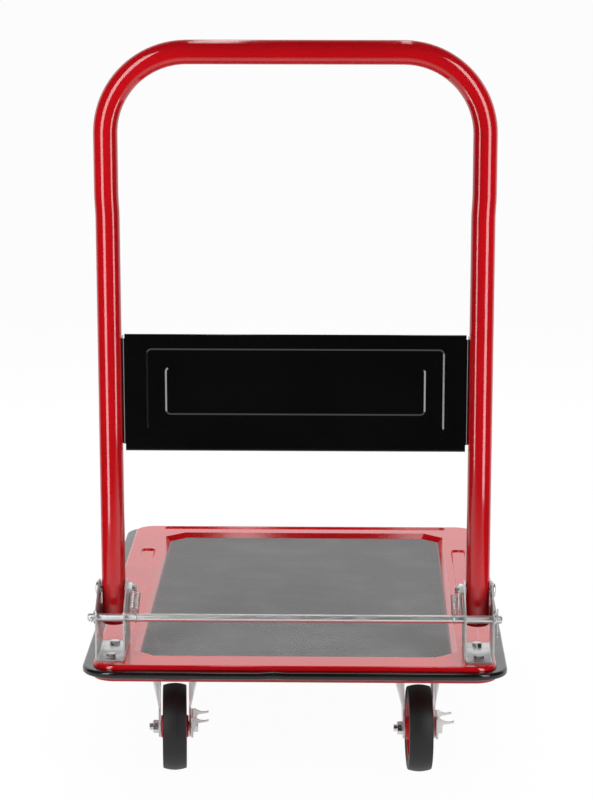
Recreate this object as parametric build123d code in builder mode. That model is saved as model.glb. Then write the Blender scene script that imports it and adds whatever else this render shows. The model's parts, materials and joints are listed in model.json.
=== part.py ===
from build123d import *

import os
from math import cos, floor, hypot, pi, radians, sin, sqrt, tan

# Folding platform trolley, in millimetres.
# The origin is on the floor under the middle of the platform, +Z is up, and the handle end is at -Y.
# A person pushing the trolley stands at -Y and looks along +Y, so +X is their right.

# Deck: one pressed sheet with a raised border, a dished middle and a turned-down skirt
DECK_LENGTH = 716.0
DECK_WIDTH = 456.0
DECK_CORNER = 26.0
DECK_SHEET = 1.6
SKIRT_DROP = 18.8
SHOULDER_RADIUS = 4.0
HEM_RADIUS = 1.3
BORDER_WIDTH = 43.0
DISH_RUN = 8.0
MAT_DROP = 5.7
MAT_THICKNESS = 2.5
MAT_CUT_CORNER = 20.0
MAT_CLEARANCE = 0.2
RIB_WIDTH = 19.0
RIB_DEPTH = 1.8
RIB_SLOPE = 45.0
RIB_CORNER = 8.0
RIB_FROM_EDGE = 25.0
RIB_NEAR_SETBACK = 125.0
RIB_FAR_SETBACK = 138.0
FAR_RIB_FROM_EDGE = 16.0
FAR_RIB_SIDE_SETBACK = 38.0

# Bumper: one extruded strip in a groove round the skirt, butted at the handle end
BUMPER_REACH = 12.0
BUMPER_HEIGHT = 8.0
BUMPER_DROP = 5.0
BUMPER_ROUND = 3.6
GROOVE_DEPTH = 2.5
BUMPER_CLEARANCE = 0.1
SEAM_WIDTH = 0.6
SEAM_X = -23.0

# Handle: one bent tube on two pivots, with a pressed panel between its legs
TUBE_DIAMETER = 27.0
TUBE_WALL = 1.5
HANDLE_LENGTH = 613.5
HANDLE_LEAN = 4.2
HANDLE_BEND = 90.0
TUBE_TAIL = 40.0
PANEL_MIDDLE = 231.0
PANEL_HEIGHT = 135.0
PANEL_SHEET = 1.2
PANEL_BEND = 5.0
PANEL_SIDE_BEND = 2.5
PANEL_DEPTH = 17.0
PANEL_LIP = 7.5
PANEL_FORWARD = 4.0
PANEL_SIDE_GAP = 0.2
PANEL_NOTCH = 3.5
PANEL_LOW_NOTCH = 8.5
BEAD_INSET = 27.5
BEAD_MARGIN = 18.7
BEAD_RISE = 2.5
BEAD_WIDTH = 19.8
BEAD_HEIGHT = 0.9
BEAD_CORNER = 6.0
BEAD_SLOPE = 65.0
RIVET_DIAMETER = 4.0
RIVET_HEAD = 8.0
RIVET_HEAD_HEIGHT = 1.4
RIVET_SPACING = 70.0
RIVET_GRIP = 5.0
RIVET_BACK = 4.8

# Hinge brackets: bent plate, bolted to the border
BRACKET_PLATE = 2.0
BRACKET_BEND = 2.0
BRACKET_EDGE_MARGIN = 3.25
PIVOT_SETBACK = 70.0
PIVOT_ABOVE_DECK = 72.2
PIVOT_BOSS = 10.5
BRACKET_BEHIND_PIVOT = 31.0
BRACKET_LOW_EDGE = 9.0
STOP_WEB_TOP = 22.0
STOP_WEB_HEIGHT = 22.0
STOP_GAP = 0.3
PIVOT_DIAMETER = 8.0
PIVOT_WASHER = 1.0
PIVOT_WASHER_DIAMETER = 17.0
PIVOT_SIDE_GAP = 0.25
PIVOT_HEAD_DIAMETER = 16.0
PIVOT_HEAD_HEIGHT = 3.0
PIVOT_HEAD_ROUND = 1.8
PIVOT_NUT_FLATS = 12.0
PIVOT_NUT_HEIGHT = 5.0
PIVOT_END = 4.8
RUNNING_CLEARANCE = 0.1
SEAT_CLEARANCE = 0.05
BOLT_SETBACK = 14.0
BOLT_DIAMETER = 6.0
BOLT_FLATS = 10.0
BOLT_HEAD = 4.0
BOLT_NUT = 5.0
BOLT_END = 2.5
BOLT_HOLE_CLEARANCE = 0.3

# Foot lock: a cross rod in upright slots, drawn up by two springs
ROD_DIAMETER = 9.0
ROD_ANGLE = 59.0
ROD_SWING_GAP = 0.4
ROD_TRAVEL = 16.0
ROD_SLOT_GAP = 0.4
ROD_SLOT_EDGE = 9.0
ROD_END = 7.5
ROD_END_CHAMFER = 1.0
ROD_WASHER = 1.6
ROD_WASHER_DIAMETER = 14.0
ROD_WASHER_GAP = 0.4
PIN_WIRE = 2.4
PIN_TAIL = 22.0
PIN_EYE = 3.0
PIN_GAP = 0.8
SPRING_WIRE = 1.6
SPRING_RADIUS = 5.9
SPRING_GAP = 2.4
SPRING_HOOK_GAP = 0.3
SPRING_LEAD = 9.0
SPRING_SIDE_GAP = 2.5
SPRING_END_TURN = 0.2
SPRING_SAMPLES = 1500

# Casters: a plate, a fork or bracket, and a wheel on an axle bolt
CASTER_SIDE_INSET = 88.0
CASTER_END_INSET = 96.0
CASTER_YAW = 3.0
CASTER_TRAIL = 32.0
CASTER_PLATE = 3.0
CASTER_PLATE_WIDTH = 92.0
CASTER_PLATE_LENGTH = 76.0
CASTER_PLATE_CORNER = 7.0
CASTER_HOLE_SPACING_X = 72.0
CASTER_HOLE_SPACING_Y = 56.0
CHANNEL_DEPTH = 8.5
CHANNEL_SHEET = 2.0
CHANNEL_WIDTH = 84.0
CHANNEL_FLANGE = 12.0
CHANNEL_END_INSET = 12.0
CHANNEL_BEND = 2.5

FORK_SHEET = 2.2
FORK_CROWN_ABOVE_WHEEL = 6.0
FORK_CROWN_RADIUS = 28.0
FORK_WAIST_RISE = 20.0
FORK_WAIST_DEPTH = 28.0
FORK_WAIST_CORNER = 3.0
FORK_EYE = 12.0
FORK_SIDE_GAP = 0.5
FIXED_CROWN_HALF_WIDTH = 25.0
FIXED_CROWN_DEPTH = 62.0
FIXED_CROWN_EDGE = 9.0
FIXED_BEND = 6.0
RACE_PITCH = 20.0
RACE_HALF_WIDTH = 6.5
LOWER_RACE = 2.5
UPPER_RACE = 6.1
BALL_DIAMETER = 7.0
BALL_SEAT_DEPTH = 1.8
BALL_RUNNING_GAP = 0.3
BALL_SPACING = 1.12
KING_PIN_DIAMETER = 12.0
KING_PIN_HEAD = 22.0
KING_PIN_HEAD_HEIGHT = 5.5
KING_PIN_FLARE = 3.0

WHEEL_DIAMETER = 100.0
TREAD_WIDTH = 27.0
TREAD_CROWN = 3.2
TREAD_SHOULDER = 2.0
TYRE_DEPTH = 13.0
HUB_WIDTH = 31.6
HUB_DIAMETER = 25.0
HUB_FLARE = 2.0
RIM_WIDTH = 24.0
RIM_DEPTH = 6.0
WEB_THICKNESS = 8.0
SLEEVE_DIAMETER = 12.0
AXLE_DIAMETER = 8.0
AXLE_FLATS = 13.0
AXLE_HEAD = 5.3
AXLE_NUT = 6.5
AXLE_END = 4.0

# Side brake: a rocker on the axle bolt with two toe ears turned outwards
BRAKE_PLATE = 2.4
BRAKE_GAP = 0.3
BRAKE_SPREAD = 19.0
BRAKE_TOP = 15.5
BRAKE_BOTTOM = 9.0
BRAKE_CHEEK = 8.0
BRAKE_EAR_REACH = 20.0
BRAKE_EAR_TIP = 12.0
BRAKE_EAR_END = 2.4
BRAKE_EAR_ROOT = 9.0
BRAKE_EAR_HOLLOW = 2.2
BRAKE_CORNER = 3.0

# Heights and places that follow from the sizes above
AXLE_HEIGHT = WHEEL_DIAMETER / 2
FORK_CROWN = WHEEL_DIAMETER + FORK_CROWN_ABOVE_WHEEL
BALL_CENTRE = FORK_CROWN + LOWER_RACE - BALL_SEAT_DEPTH + BALL_DIAMETER / 2
UPPER_RACE_BOTTOM = BALL_CENTRE + BALL_DIAMETER / 2 - BALL_SEAT_DEPTH
PLATE_BOTTOM = UPPER_RACE_BOTTOM + UPPER_RACE
CASTER_MOUNT = PLATE_BOTTOM + CASTER_PLATE
DISH_UNDERSIDE = CASTER_MOUNT + CHANNEL_DEPTH
DISH_FLOOR = DISH_UNDERSIDE + DECK_SHEET
MAT_TOP = DISH_FLOOR + MAT_THICKNESS
DECK_TOP = MAT_TOP + MAT_DROP
SKIRT_BOTTOM = DECK_TOP - SKIRT_DROP
BORDER_UNDERSIDE = DECK_TOP - DECK_SHEET
BUMPER_TOP = DECK_TOP - BUMPER_DROP
BUMPER_BOTTOM = BUMPER_TOP - BUMPER_HEIGHT
HALF_LENGTH = DECK_LENGTH / 2
HALF_WIDTH = DECK_WIDTH / 2
DISH_HALF_WIDTH = HALF_WIDTH - BORDER_WIDTH
DISH_HALF_LENGTH = HALF_LENGTH - BORDER_WIDTH
MAT_HALF_WIDTH = DISH_HALF_WIDTH - DISH_RUN
MAT_HALF_LENGTH = DISH_HALF_LENGTH - DISH_RUN
OCTAGON_GROWTH = 2 - sqrt(2)
RIB_MARGIN = DECK_SHEET * tan(radians(45 - RIB_SLOPE / 2))

TUBE_RADIUS = TUBE_DIAMETER / 2
LEAN = radians(HANDLE_LEAN)
PIVOT_Y = -HALF_LENGTH + PIVOT_SETBACK
PIVOT_Z = DECK_TOP + PIVOT_ABOVE_DECK
PIVOT_RADIUS = PIVOT_DIAMETER / 2
BRACKET_INSIDE = TUBE_DIAMETER + 2 * (PIVOT_WASHER + PIVOT_SIDE_GAP)
BRACKET_WIDTH = BRACKET_INSIDE + 2 * BRACKET_PLATE
HANDLE_HALF_SPACING = HALF_WIDTH - BRACKET_EDGE_MARGIN - BRACKET_WIDTH / 2
BRACKET_OUTER_FACE = HANDLE_HALF_SPACING + BRACKET_WIDTH / 2
BRACKET_INNER_FACE = HANDLE_HALF_SPACING - BRACKET_WIDTH / 2

ROD_RADIUS = ROD_DIAMETER / 2
ROD_REACH = hypot(TUBE_TAIL, TUBE_RADIUS) + ROD_SWING_GAP + ROD_RADIUS
ROD_Y = PIVOT_Y - ROD_REACH * sin(radians(ROD_ANGLE))
ROD_Z = PIVOT_Z - ROD_REACH * cos(radians(ROD_ANGLE))
ROD_SLOT_RADIUS = ROD_RADIUS + ROD_SLOT_GAP
BRACKET_FRONT = ROD_Y - ROD_SLOT_RADIUS - ROD_SLOT_EDGE
BRACKET_BACK = PIVOT_Y + BRACKET_BEHIND_PIVOT
BRACKET_BOLTS_Y = (BRACKET_FRONT + BOLT_SETBACK, BRACKET_BACK - BOLT_SETBACK)
BRACKET_BOLTS = [(side * HANDLE_HALF_SPACING, y) for side in (-1, 1) for y in BRACKET_BOLTS_Y]
BRACKET_FLOOR = DECK_TOP + BRACKET_PLATE
PIN_X = BRACKET_OUTER_FACE + ROD_WASHER_GAP + ROD_WASHER + PIN_GAP + PIN_WIRE / 2
ROD_HALF_LENGTH = PIN_X + ROD_END - PIN_WIRE
SPRING_X = BRACKET_INNER_FACE - PIVOT_NUT_HEIGHT - SPRING_SIDE_GAP - SPRING_WIRE / 2

CASTER_X = HALF_WIDTH - CASTER_SIDE_INSET
CASTER_Y = HALF_LENGTH - CASTER_END_INSET
CHANNEL_LENGTH = 2 * (MAT_HALF_WIDTH - CHANNEL_END_INSET)
FORK_INSIDE = HUB_WIDTH + 2 * FORK_SIDE_GAP
FORK_OUTER = FORK_INSIDE / 2 + FORK_SHEET
AXLE_RADIUS = AXLE_DIAMETER / 2
BRAKE_OUTER = FORK_OUTER + BRAKE_GAP + BRAKE_PLATE
CASTER_HOLES_X = (-CASTER_HOLE_SPACING_X / 2, CASTER_HOLE_SPACING_X / 2)
CASTER_HOLES_Y = (-CASTER_HOLE_SPACING_Y / 2, CASTER_HOLE_SPACING_Y / 2)
CASTER_BOLTS = [
    (side * CASTER_X + x, end * CASTER_Y + y)
    for end in (-1, 1)
    for side in (-1, 1)
    for x in CASTER_HOLES_X
    for y in CASTER_HOLES_Y
]
BOLT_HOLE = BOLT_DIAMETER / 2 + BOLT_HOLE_CLEARANCE
NUT_BORE = BOLT_DIAMETER / 2 + SEAT_CLEARANCE

SIDES = {"left": -1, "right": 1}

# The handle's own plane: its origin is midway between the pivots, local y runs up the legs
HANDLE_PLANE = Plane(origin=(0, PIVOT_Y, PIVOT_Z), x_dir=(1, 0, 0), z_dir=(0, -cos(LEAN), -sin(LEAN)))

os.makedirs("parts", exist_ok=True)


def finish(piece, name):
    """Labels a finished piece and writes it as one file."""
    piece.part.label = name
    export_step(piece.part, f"parts/{name}.step")


def disc(plane, radius, inner_radius=0.0, places=((0, 0),)):
    """Round or ring-shaped faces on a plane."""
    with BuildSketch(plane) as face:
        with Locations(*places):
            Circle(radius)
        if inner_radius > 0:
            with Locations(*places):
                Circle(inner_radius, mode=Mode.SUBTRACT)
    return face.sketch


def hexagon(plane, across_flats, inner_radius=0.0, places=((0, 0),)):
    """Hexagonal faces on a plane, with a round hole in nuts."""
    with BuildSketch(plane) as face:
        with Locations(*places):
            RegularPolygon(across_flats / 2, 6, major_radius=False)
        if inner_radius > 0:
            with Locations(*places):
                Circle(inner_radius, mode=Mode.SUBTRACT)
    return face.sketch


def deck_outline(height, inset, hollow_inset=None):
    """The deck's rounded outline, drawn in by an inset, with an optional hole of a larger inset."""
    with BuildSketch(Plane.XY.offset(height)) as face:
        RectangleRounded(DECK_WIDTH - 2 * inset, DECK_LENGTH - 2 * inset, DECK_CORNER - inset)
        if hollow_inset is not None:
            RectangleRounded(
                DECK_WIDTH - 2 * hollow_inset,
                DECK_LENGTH - 2 * hollow_inset,
                DECK_CORNER - hollow_inset,
                mode=Mode.SUBTRACT,
            )
    return face.sketch


def cut_corner_outline(height, growth):
    """The mat's outline with its cut corners, grown outwards by an even margin."""
    with BuildSketch(Plane.XY.offset(height)) as face:
        Rectangle(2 * (MAT_HALF_WIDTH + growth), 2 * (MAT_HALF_LENGTH + growth))
        chamfer(face.vertices(), MAT_CUT_CORNER + growth * OCTAGON_GROWTH)
    return face.sketch


def border_ribs(height, margin):
    """The border's stiffening grooves: one along each side and one across the far end."""
    length = DECK_LENGTH - RIB_NEAR_SETBACK - RIB_FAR_SETBACK
    middle = (RIB_NEAR_SETBACK - RIB_FAR_SETBACK) / 2
    far_length = DECK_WIDTH - 2 * FAR_RIB_SIDE_SETBACK
    width = RIB_WIDTH + 2 * margin
    corner = min(RIB_CORNER, 0.45 * RIB_WIDTH) + margin
    with BuildSketch(Plane.XY.offset(height)) as face:
        with Locations(*[(side * (HALF_WIDTH - RIB_FROM_EDGE), middle) for side in (-1, 1)]):
            RectangleRounded(width, length + 2 * margin, corner)
        with Locations((0, HALF_LENGTH - FAR_RIB_FROM_EDGE)):
            RectangleRounded(far_length + 2 * margin, width, corner)
    return face.sketch


# The deck
with BuildPart() as deck_panel:
    extrude(deck_outline(SKIRT_BOTTOM, 0), amount=SKIRT_DROP)
    fillet(deck_panel.faces().sort_by(Axis.Z)[-1].edges(), SHOULDER_RADIUS)
    fillet(deck_panel.faces().sort_by(Axis.Z)[0].edges(), min(HEM_RADIUS, 0.9 * DECK_SHEET))
    extrude(deck_outline(BUMPER_BOTTOM, 0, GROOVE_DEPTH), amount=BUMPER_HEIGHT, mode=Mode.SUBTRACT)
    extrude(
        deck_outline(SKIRT_BOTTOM, DECK_SHEET),
        amount=BUMPER_BOTTOM - DECK_SHEET - SKIRT_BOTTOM,
        mode=Mode.SUBTRACT,
    )
    extrude(
        deck_outline(SKIRT_BOTTOM, GROOVE_DEPTH + DECK_SHEET),
        amount=BORDER_UNDERSIDE - SKIRT_BOTTOM,
        mode=Mode.SUBTRACT,
    )
    extrude(border_ribs(BORDER_UNDERSIDE, RIB_MARGIN), amount=-RIB_DEPTH, taper=RIB_SLOPE)
    extrude(border_ribs(DECK_TOP, 0), amount=-RIB_DEPTH, taper=RIB_SLOPE, mode=Mode.SUBTRACT)
    loft(
        [
            cut_corner_outline(BORDER_UNDERSIDE, DISH_RUN + DECK_SHEET),
            cut_corner_outline(DISH_UNDERSIDE, DECK_SHEET),
        ]
    )
    loft([cut_corner_outline(DECK_TOP, DISH_RUN), cut_corner_outline(DISH_FLOOR, 0)], mode=Mode.SUBTRACT)
    with Locations(*[(x, y, DECK_TOP) for x, y in BRACKET_BOLTS]):
        Hole(BOLT_HOLE, depth=2 * DECK_SHEET)
finish(deck_panel, "deck_panel")

with BuildPart() as anti_slip_mat:
    extrude(cut_corner_outline(DISH_FLOOR, -MAT_CLEARANCE), amount=MAT_THICKNESS)
finish(anti_slip_mat, "anti_slip_mat")

with BuildPart() as edge_bumper:
    extrude(
        deck_outline(BUMPER_BOTTOM + BUMPER_CLEARANCE, -BUMPER_REACH, GROOVE_DEPTH - BUMPER_CLEARANCE),
        amount=BUMPER_HEIGHT - 2 * BUMPER_CLEARANCE,
    )
    flat_faces = edge_bumper.faces().filter_by(Axis.Z)
    outer_edges = [edge for face in flat_faces for edge in face.outer_wire().edges()]
    fillet(outer_edges, min(BUMPER_ROUND, 0.45 * (BUMPER_HEIGHT - 2 * BUMPER_CLEARANCE)))
    with Locations((SEAM_X, -HALF_LENGTH - BUMPER_REACH / 2, BUMPER_TOP - BUMPER_HEIGHT / 2)):
        Box(SEAM_WIDTH, 2 * (BUMPER_REACH + GROOVE_DEPTH), 2 * BUMPER_HEIGHT, mode=Mode.SUBTRACT)
finish(edge_bumper, "edge_bumper")


# Cross channels under the dish, which carry the casters
def cross_channel(end):
    """A hat-section channel: its web lies on the caster plates, its flanges under the dish."""
    half = CHANNEL_WIDTH / 2
    web = CASTER_MOUNT + CHANNEL_SHEET / 2
    flange = DISH_UNDERSIDE - CHANNEL_SHEET / 2
    with BuildPart() as channel:
        with BuildSketch(Plane.YZ):
            with BuildLine():
                FilletPolyline(
                    (end * CASTER_Y - half - CHANNEL_FLANGE, flange),
                    (end * CASTER_Y - half, flange),
                    (end * CASTER_Y - half, web),
                    (end * CASTER_Y + half, web),
                    (end * CASTER_Y + half, flange),
                    (end * CASTER_Y + half + CHANNEL_FLANGE, flange),
                    radius=min(CHANNEL_BEND, 0.45 * (flange - web)),
                )
            trace(line_width=CHANNEL_SHEET)
        extrude(amount=CHANNEL_LENGTH / 2, both=True)
        with Locations(*[(x, y, web) for x, y in CASTER_BOLTS if y * end > 0]):
            Cylinder(BOLT_HOLE, 2 * CHANNEL_SHEET, mode=Mode.SUBTRACT)
    return channel


finish(cross_channel(-1), "swivel_end_channel")
finish(cross_channel(1), "fixed_end_channel")


# Hinge brackets
def hinge_bracket(side):
    """A bent U of plate: base on the border, two side plates with the pivot holes and rod slots."""
    middle = side * HANDLE_HALF_SPACING
    half = (BRACKET_INSIDE + BRACKET_PLATE) / 2
    length = BRACKET_BACK - BRACKET_FRONT
    top = PIVOT_Z + PIVOT_BOSS
    tail_back = PIVOT_Y + TUBE_TAIL * sin(LEAN) + TUBE_RADIUS / cos(LEAN) + STOP_GAP
    with BuildPart() as bracket:
        with BuildSketch(Plane.XZ.offset(-BRACKET_BACK)):
            with BuildLine():
                FilletPolyline(
                    (middle - half, top),
                    (middle - half, DECK_TOP + BRACKET_PLATE / 2),
                    (middle + half, DECK_TOP + BRACKET_PLATE / 2),
                    (middle + half, top),
                    radius=BRACKET_BEND + BRACKET_PLATE / 2,
                )
            trace(line_width=BRACKET_PLATE)
        extrude(amount=length)
        with BuildSketch(Plane.YZ.offset(middle)) as outline:
            with Locations((PIVOT_Y, PIVOT_Z)):
                Circle(PIVOT_BOSS)
            with Locations((ROD_Y, ROD_Z)):
                Circle(ROD_SLOT_RADIUS + ROD_SLOT_EDGE)
            with Locations(((BRACKET_FRONT + BRACKET_BACK) / 2, DECK_TOP + BRACKET_LOW_EDGE / 2)):
                Rectangle(length, BRACKET_LOW_EDGE)
            make_hull(outline.edges())
        extrude(amount=BRACKET_WIDTH, both=True, mode=Mode.INTERSECT)
        with Locations((middle, tail_back + BRACKET_PLATE / 2, PIVOT_Z - STOP_WEB_TOP - STOP_WEB_HEIGHT / 2)):
            Box(BRACKET_INSIDE, BRACKET_PLATE, STOP_WEB_HEIGHT)
        with BuildSketch(Plane.YZ.offset(middle)):
            with Locations((PIVOT_Y, PIVOT_Z)):
                Circle(PIVOT_RADIUS + SEAT_CLEARANCE)
            with Locations((ROD_Y, ROD_Z - ROD_TRAVEL / 2)):
                SlotCenterToCenter(ROD_TRAVEL, 2 * ROD_SLOT_RADIUS, rotation=90)
        extrude(amount=BRACKET_WIDTH, both=True, mode=Mode.SUBTRACT)
        with Locations(*[(middle, y, BRACKET_FLOOR) for y in BRACKET_BOLTS_Y]):
            Hole(BOLT_HOLE, depth=2 * BRACKET_PLATE)
    return bracket


for side_name, side in SIDES.items():
    finish(hinge_bracket(side), f"{side_name}_hinge_bracket")

with BuildPart() as bracket_bolts:
    extrude(hexagon(Plane.XY.offset(BRACKET_FLOOR), BOLT_FLATS, places=BRACKET_BOLTS), amount=BOLT_HEAD)
    extrude(
        disc(Plane.XY.offset(BRACKET_FLOOR), BOLT_DIAMETER / 2, places=BRACKET_BOLTS),
        amount=-(BRACKET_PLATE + DECK_SHEET + BOLT_NUT + BOLT_END),
    )
finish(bracket_bolts, "bracket_bolts")

with BuildPart() as bracket_nuts:
    extrude(
        hexagon(Plane.XY.offset(BORDER_UNDERSIDE), BOLT_FLATS, NUT_BORE, BRACKET_BOLTS),
        amount=-BOLT_NUT,
    )
finish(bracket_nuts, "bracket_nuts")


# Pivot hardware: planes face inwards along X, one on each side
def pivot_plane(side, distance):
    """A plane across the pivot line at a distance from the middle, facing the middle."""
    return Plane(origin=(side * distance, PIVOT_Y, PIVOT_Z), x_dir=(0, 1, 0), z_dir=(-side, 0, 0))


with BuildPart() as pivot_bolts:
    bolt_length = BRACKET_WIDTH + PIVOT_NUT_HEIGHT + PIVOT_END
    for side in SIDES.values():
        head_seat = pivot_plane(side, BRACKET_OUTER_FACE)
        extrude(disc(head_seat, PIVOT_HEAD_DIAMETER / 2), amount=-PIVOT_HEAD_HEIGHT)
        extrude(disc(head_seat, PIVOT_RADIUS), amount=bolt_length)
    fillet(
        pivot_bolts.edges().filter_by(GeomType.CIRCLE).group_by(SortBy.RADIUS)[-1].filter_by(
            lambda edge: abs(edge.center().X) > BRACKET_OUTER_FACE + PIVOT_HEAD_HEIGHT / 2
        ),
        min(PIVOT_HEAD_ROUND, 0.9 * PIVOT_HEAD_HEIGHT),
    )
finish(pivot_bolts, "pivot_bolts")

with BuildPart() as pivot_nuts:
    for side in SIDES.values():
        extrude(
            hexagon(pivot_plane(side, BRACKET_INNER_FACE), PIVOT_NUT_FLATS, PIVOT_RADIUS + SEAT_CLEARANCE),
            amount=PIVOT_NUT_HEIGHT,
        )
finish(pivot_nuts, "pivot_nuts")

with BuildPart() as pivot_washers:
    for side in SIDES.values():
        for inner_wall in (-1, 1):
            seat = HANDLE_HALF_SPACING + inner_wall * BRACKET_INSIDE / 2
            extrude(
                disc(pivot_plane(side, seat), PIVOT_WASHER_DIAMETER / 2, PIVOT_RADIUS + SEAT_CLEARANCE),
                amount=inner_wall * PIVOT_WASHER,
            )
finish(pivot_washers, "pivot_washers")

# The handle
RIVET_HEIGHTS = (PANEL_MIDDLE - RIVET_SPACING / 2, PANEL_MIDDLE + RIVET_SPACING / 2)
TUBE_INNER_EDGE = HANDLE_HALF_SPACING - TUBE_RADIUS
PANEL_HALF_WIDTH = TUBE_INNER_EDGE - PANEL_SIDE_GAP


def rivet_plane(side, distance, height):
    """A plane across a rivet, at a distance from the handle's middle line, facing the tube."""
    origin = HANDLE_PLANE.from_local_coords((side * distance, height, -RIVET_BACK))
    return Plane(origin=origin, x_dir=HANDLE_PLANE.y_dir, z_dir=(side, 0, 0))


with BuildPart() as handle_tube:
    with BuildLine(HANDLE_PLANE) as tube_line:
        FilletPolyline(
            (-HANDLE_HALF_SPACING, -TUBE_TAIL),
            (-HANDLE_HALF_SPACING, HANDLE_LENGTH),
            (HANDLE_HALF_SPACING, HANDLE_LENGTH),
            (HANDLE_HALF_SPACING, -TUBE_TAIL),
            radius=HANDLE_BEND,
        )
    with BuildSketch(Plane(origin=tube_line.line @ 0, z_dir=tube_line.line % 0)):
        Circle(TUBE_RADIUS)
        Circle(TUBE_RADIUS - TUBE_WALL, mode=Mode.SUBTRACT)
    sweep()
    for side in SIDES.values():
        extrude(
            disc(pivot_plane(side, HANDLE_HALF_SPACING), PIVOT_RADIUS + RUNNING_CLEARANCE),
            amount=TUBE_DIAMETER,
            both=True,
            mode=Mode.SUBTRACT,
        )
        for height in RIVET_HEIGHTS:
            extrude(
                disc(rivet_plane(side, PANEL_HALF_WIDTH, height), RIVET_DIAMETER / 2 + SEAT_CLEARANCE),
                amount=TUBE_RADIUS,
                mode=Mode.SUBTRACT,
            )
finish(handle_tube, "handle_tube")


def bead_face(offset, inset):
    """A rounded rectangle on the handle's plane, drawn in from the bead's outer edge."""
    with BuildSketch(HANDLE_PLANE.offset(offset)) as face:
        with Locations((0, PANEL_MIDDLE + BEAD_RISE)):
            RectangleRounded(2 * (BEAD_HALF_WIDTH - inset), 2 * (BEAD_HALF_HEIGHT - inset), BEAD_CORNER)
    return face.sketch


PANEL_EDGE = PANEL_HEIGHT / 2 - PANEL_SHEET / 2
PANEL_FACE_HEIGHT = PANEL_HEIGHT - PANEL_BEND - PANEL_LOW_NOTCH
PANEL_BACK = PANEL_FORWARD - PANEL_DEPTH
PANEL_LIP_BACK = PANEL_FORWARD - PANEL_LIP
PANEL_CENTRE = PANEL_FORWARD - PANEL_SHEET / 2
BEAD_HALF_WIDTH = PANEL_HALF_WIDTH - BEAD_INSET
BEAD_HALF_HEIGHT = PANEL_HEIGHT / 2 - BEAD_MARGIN

with BuildPart() as back_panel:
    with BuildSketch(Plane(origin=HANDLE_PLANE.origin, x_dir=HANDLE_PLANE.z_dir, z_dir=(-1, 0, 0))):
        with BuildLine():
            FilletPolyline(
                (PANEL_LIP_BACK, PANEL_MIDDLE - PANEL_EDGE),
                (PANEL_CENTRE, PANEL_MIDDLE - PANEL_EDGE),
                (PANEL_CENTRE, PANEL_MIDDLE + PANEL_EDGE),
                (PANEL_LIP_BACK, PANEL_MIDDLE + PANEL_EDGE),
                radius=PANEL_BEND,
            )
        trace(line_width=PANEL_SHEET)
    extrude(amount=PANEL_HALF_WIDTH - PANEL_NOTCH, both=True)
    face_bottom = HANDLE_PLANE.from_local_coords((0, PANEL_MIDDLE - PANEL_HEIGHT / 2 + PANEL_LOW_NOTCH, 0))
    with BuildSketch(Plane(origin=face_bottom, x_dir=(1, 0, 0), z_dir=HANDLE_PLANE.y_dir)):
        with BuildLine():
            FilletPolyline(
                (-PANEL_HALF_WIDTH + PANEL_SHEET / 2, -PANEL_BACK),
                (-PANEL_HALF_WIDTH + PANEL_SHEET / 2, -PANEL_CENTRE),
                (PANEL_HALF_WIDTH - PANEL_SHEET / 2, -PANEL_CENTRE),
                (PANEL_HALF_WIDTH - PANEL_SHEET / 2, -PANEL_BACK),
                radius=PANEL_SIDE_BEND,
            )
        trace(line_width=PANEL_SHEET)
    extrude(amount=PANEL_FACE_HEIGHT)
    extrude(bead_face(PANEL_FORWARD, 0), amount=BEAD_HEIGHT, taper=BEAD_SLOPE)
    extrude(
        bead_face(PANEL_FORWARD - PANEL_SHEET, PANEL_SHEET),
        amount=BEAD_HEIGHT,
        taper=BEAD_SLOPE,
        mode=Mode.SUBTRACT,
    )
    extrude(
        bead_face(PANEL_FORWARD + BEAD_HEIGHT, BEAD_WIDTH),
        amount=-BEAD_HEIGHT - PANEL_SHEET,
        taper=BEAD_SLOPE,
    )
    extrude(
        bead_face(PANEL_FORWARD + BEAD_HEIGHT, BEAD_WIDTH + PANEL_SHEET),
        amount=-BEAD_HEIGHT,
        taper=BEAD_SLOPE,
        mode=Mode.SUBTRACT,
    )
    for height in RIVET_HEIGHTS:
        for side in SIDES.values():
            extrude(
                disc(rivet_plane(side, PANEL_HALF_WIDTH, height), RIVET_DIAMETER / 2 + SEAT_CLEARANCE),
                amount=-2 * PANEL_SHEET,
                mode=Mode.SUBTRACT,
            )
finish(back_panel, "back_panel")

with BuildPart() as panel_rivets:
    for side in SIDES.values():
        for height in RIVET_HEIGHTS:
            seat = rivet_plane(side, PANEL_HALF_WIDTH - PANEL_SHEET, height)
            extrude(disc(seat, RIVET_HEAD / 2), amount=-RIVET_HEAD_HEIGHT)
            extrude(disc(seat, RIVET_DIAMETER / 2), amount=PANEL_SHEET + PANEL_SIDE_GAP + RIVET_GRIP)
finish(panel_rivets, "panel_rivets")


# The foot lock
def rod_plane(distance):
    """A plane across the lock rod, facing +X."""
    return Plane(origin=(distance, ROD_Y, ROD_Z), x_dir=(0, 1, 0), z_dir=(1, 0, 0))


# The left pin points away from the handle end and the right pin hangs down
PIN_DIRECTIONS = {-1: (0, 1, 0), 1: (0, 0, -1)}

with BuildPart() as lock_rod:
    extrude(disc(rod_plane(0), ROD_RADIUS), amount=ROD_HALF_LENGTH, both=True)
    chamfer(lock_rod.edges().filter_by(GeomType.CIRCLE), ROD_END_CHAMFER)
    for side, direction in PIN_DIRECTIONS.items():
        hole_plane = Plane(origin=(side * PIN_X, ROD_Y, ROD_Z), x_dir=(1, 0, 0), z_dir=direction)
        extrude(
            disc(hole_plane, PIN_WIRE / 2 + SEAT_CLEARANCE),
            amount=ROD_DIAMETER,
            both=True,
            mode=Mode.SUBTRACT,
        )
finish(lock_rod, "lock_rod")

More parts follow.
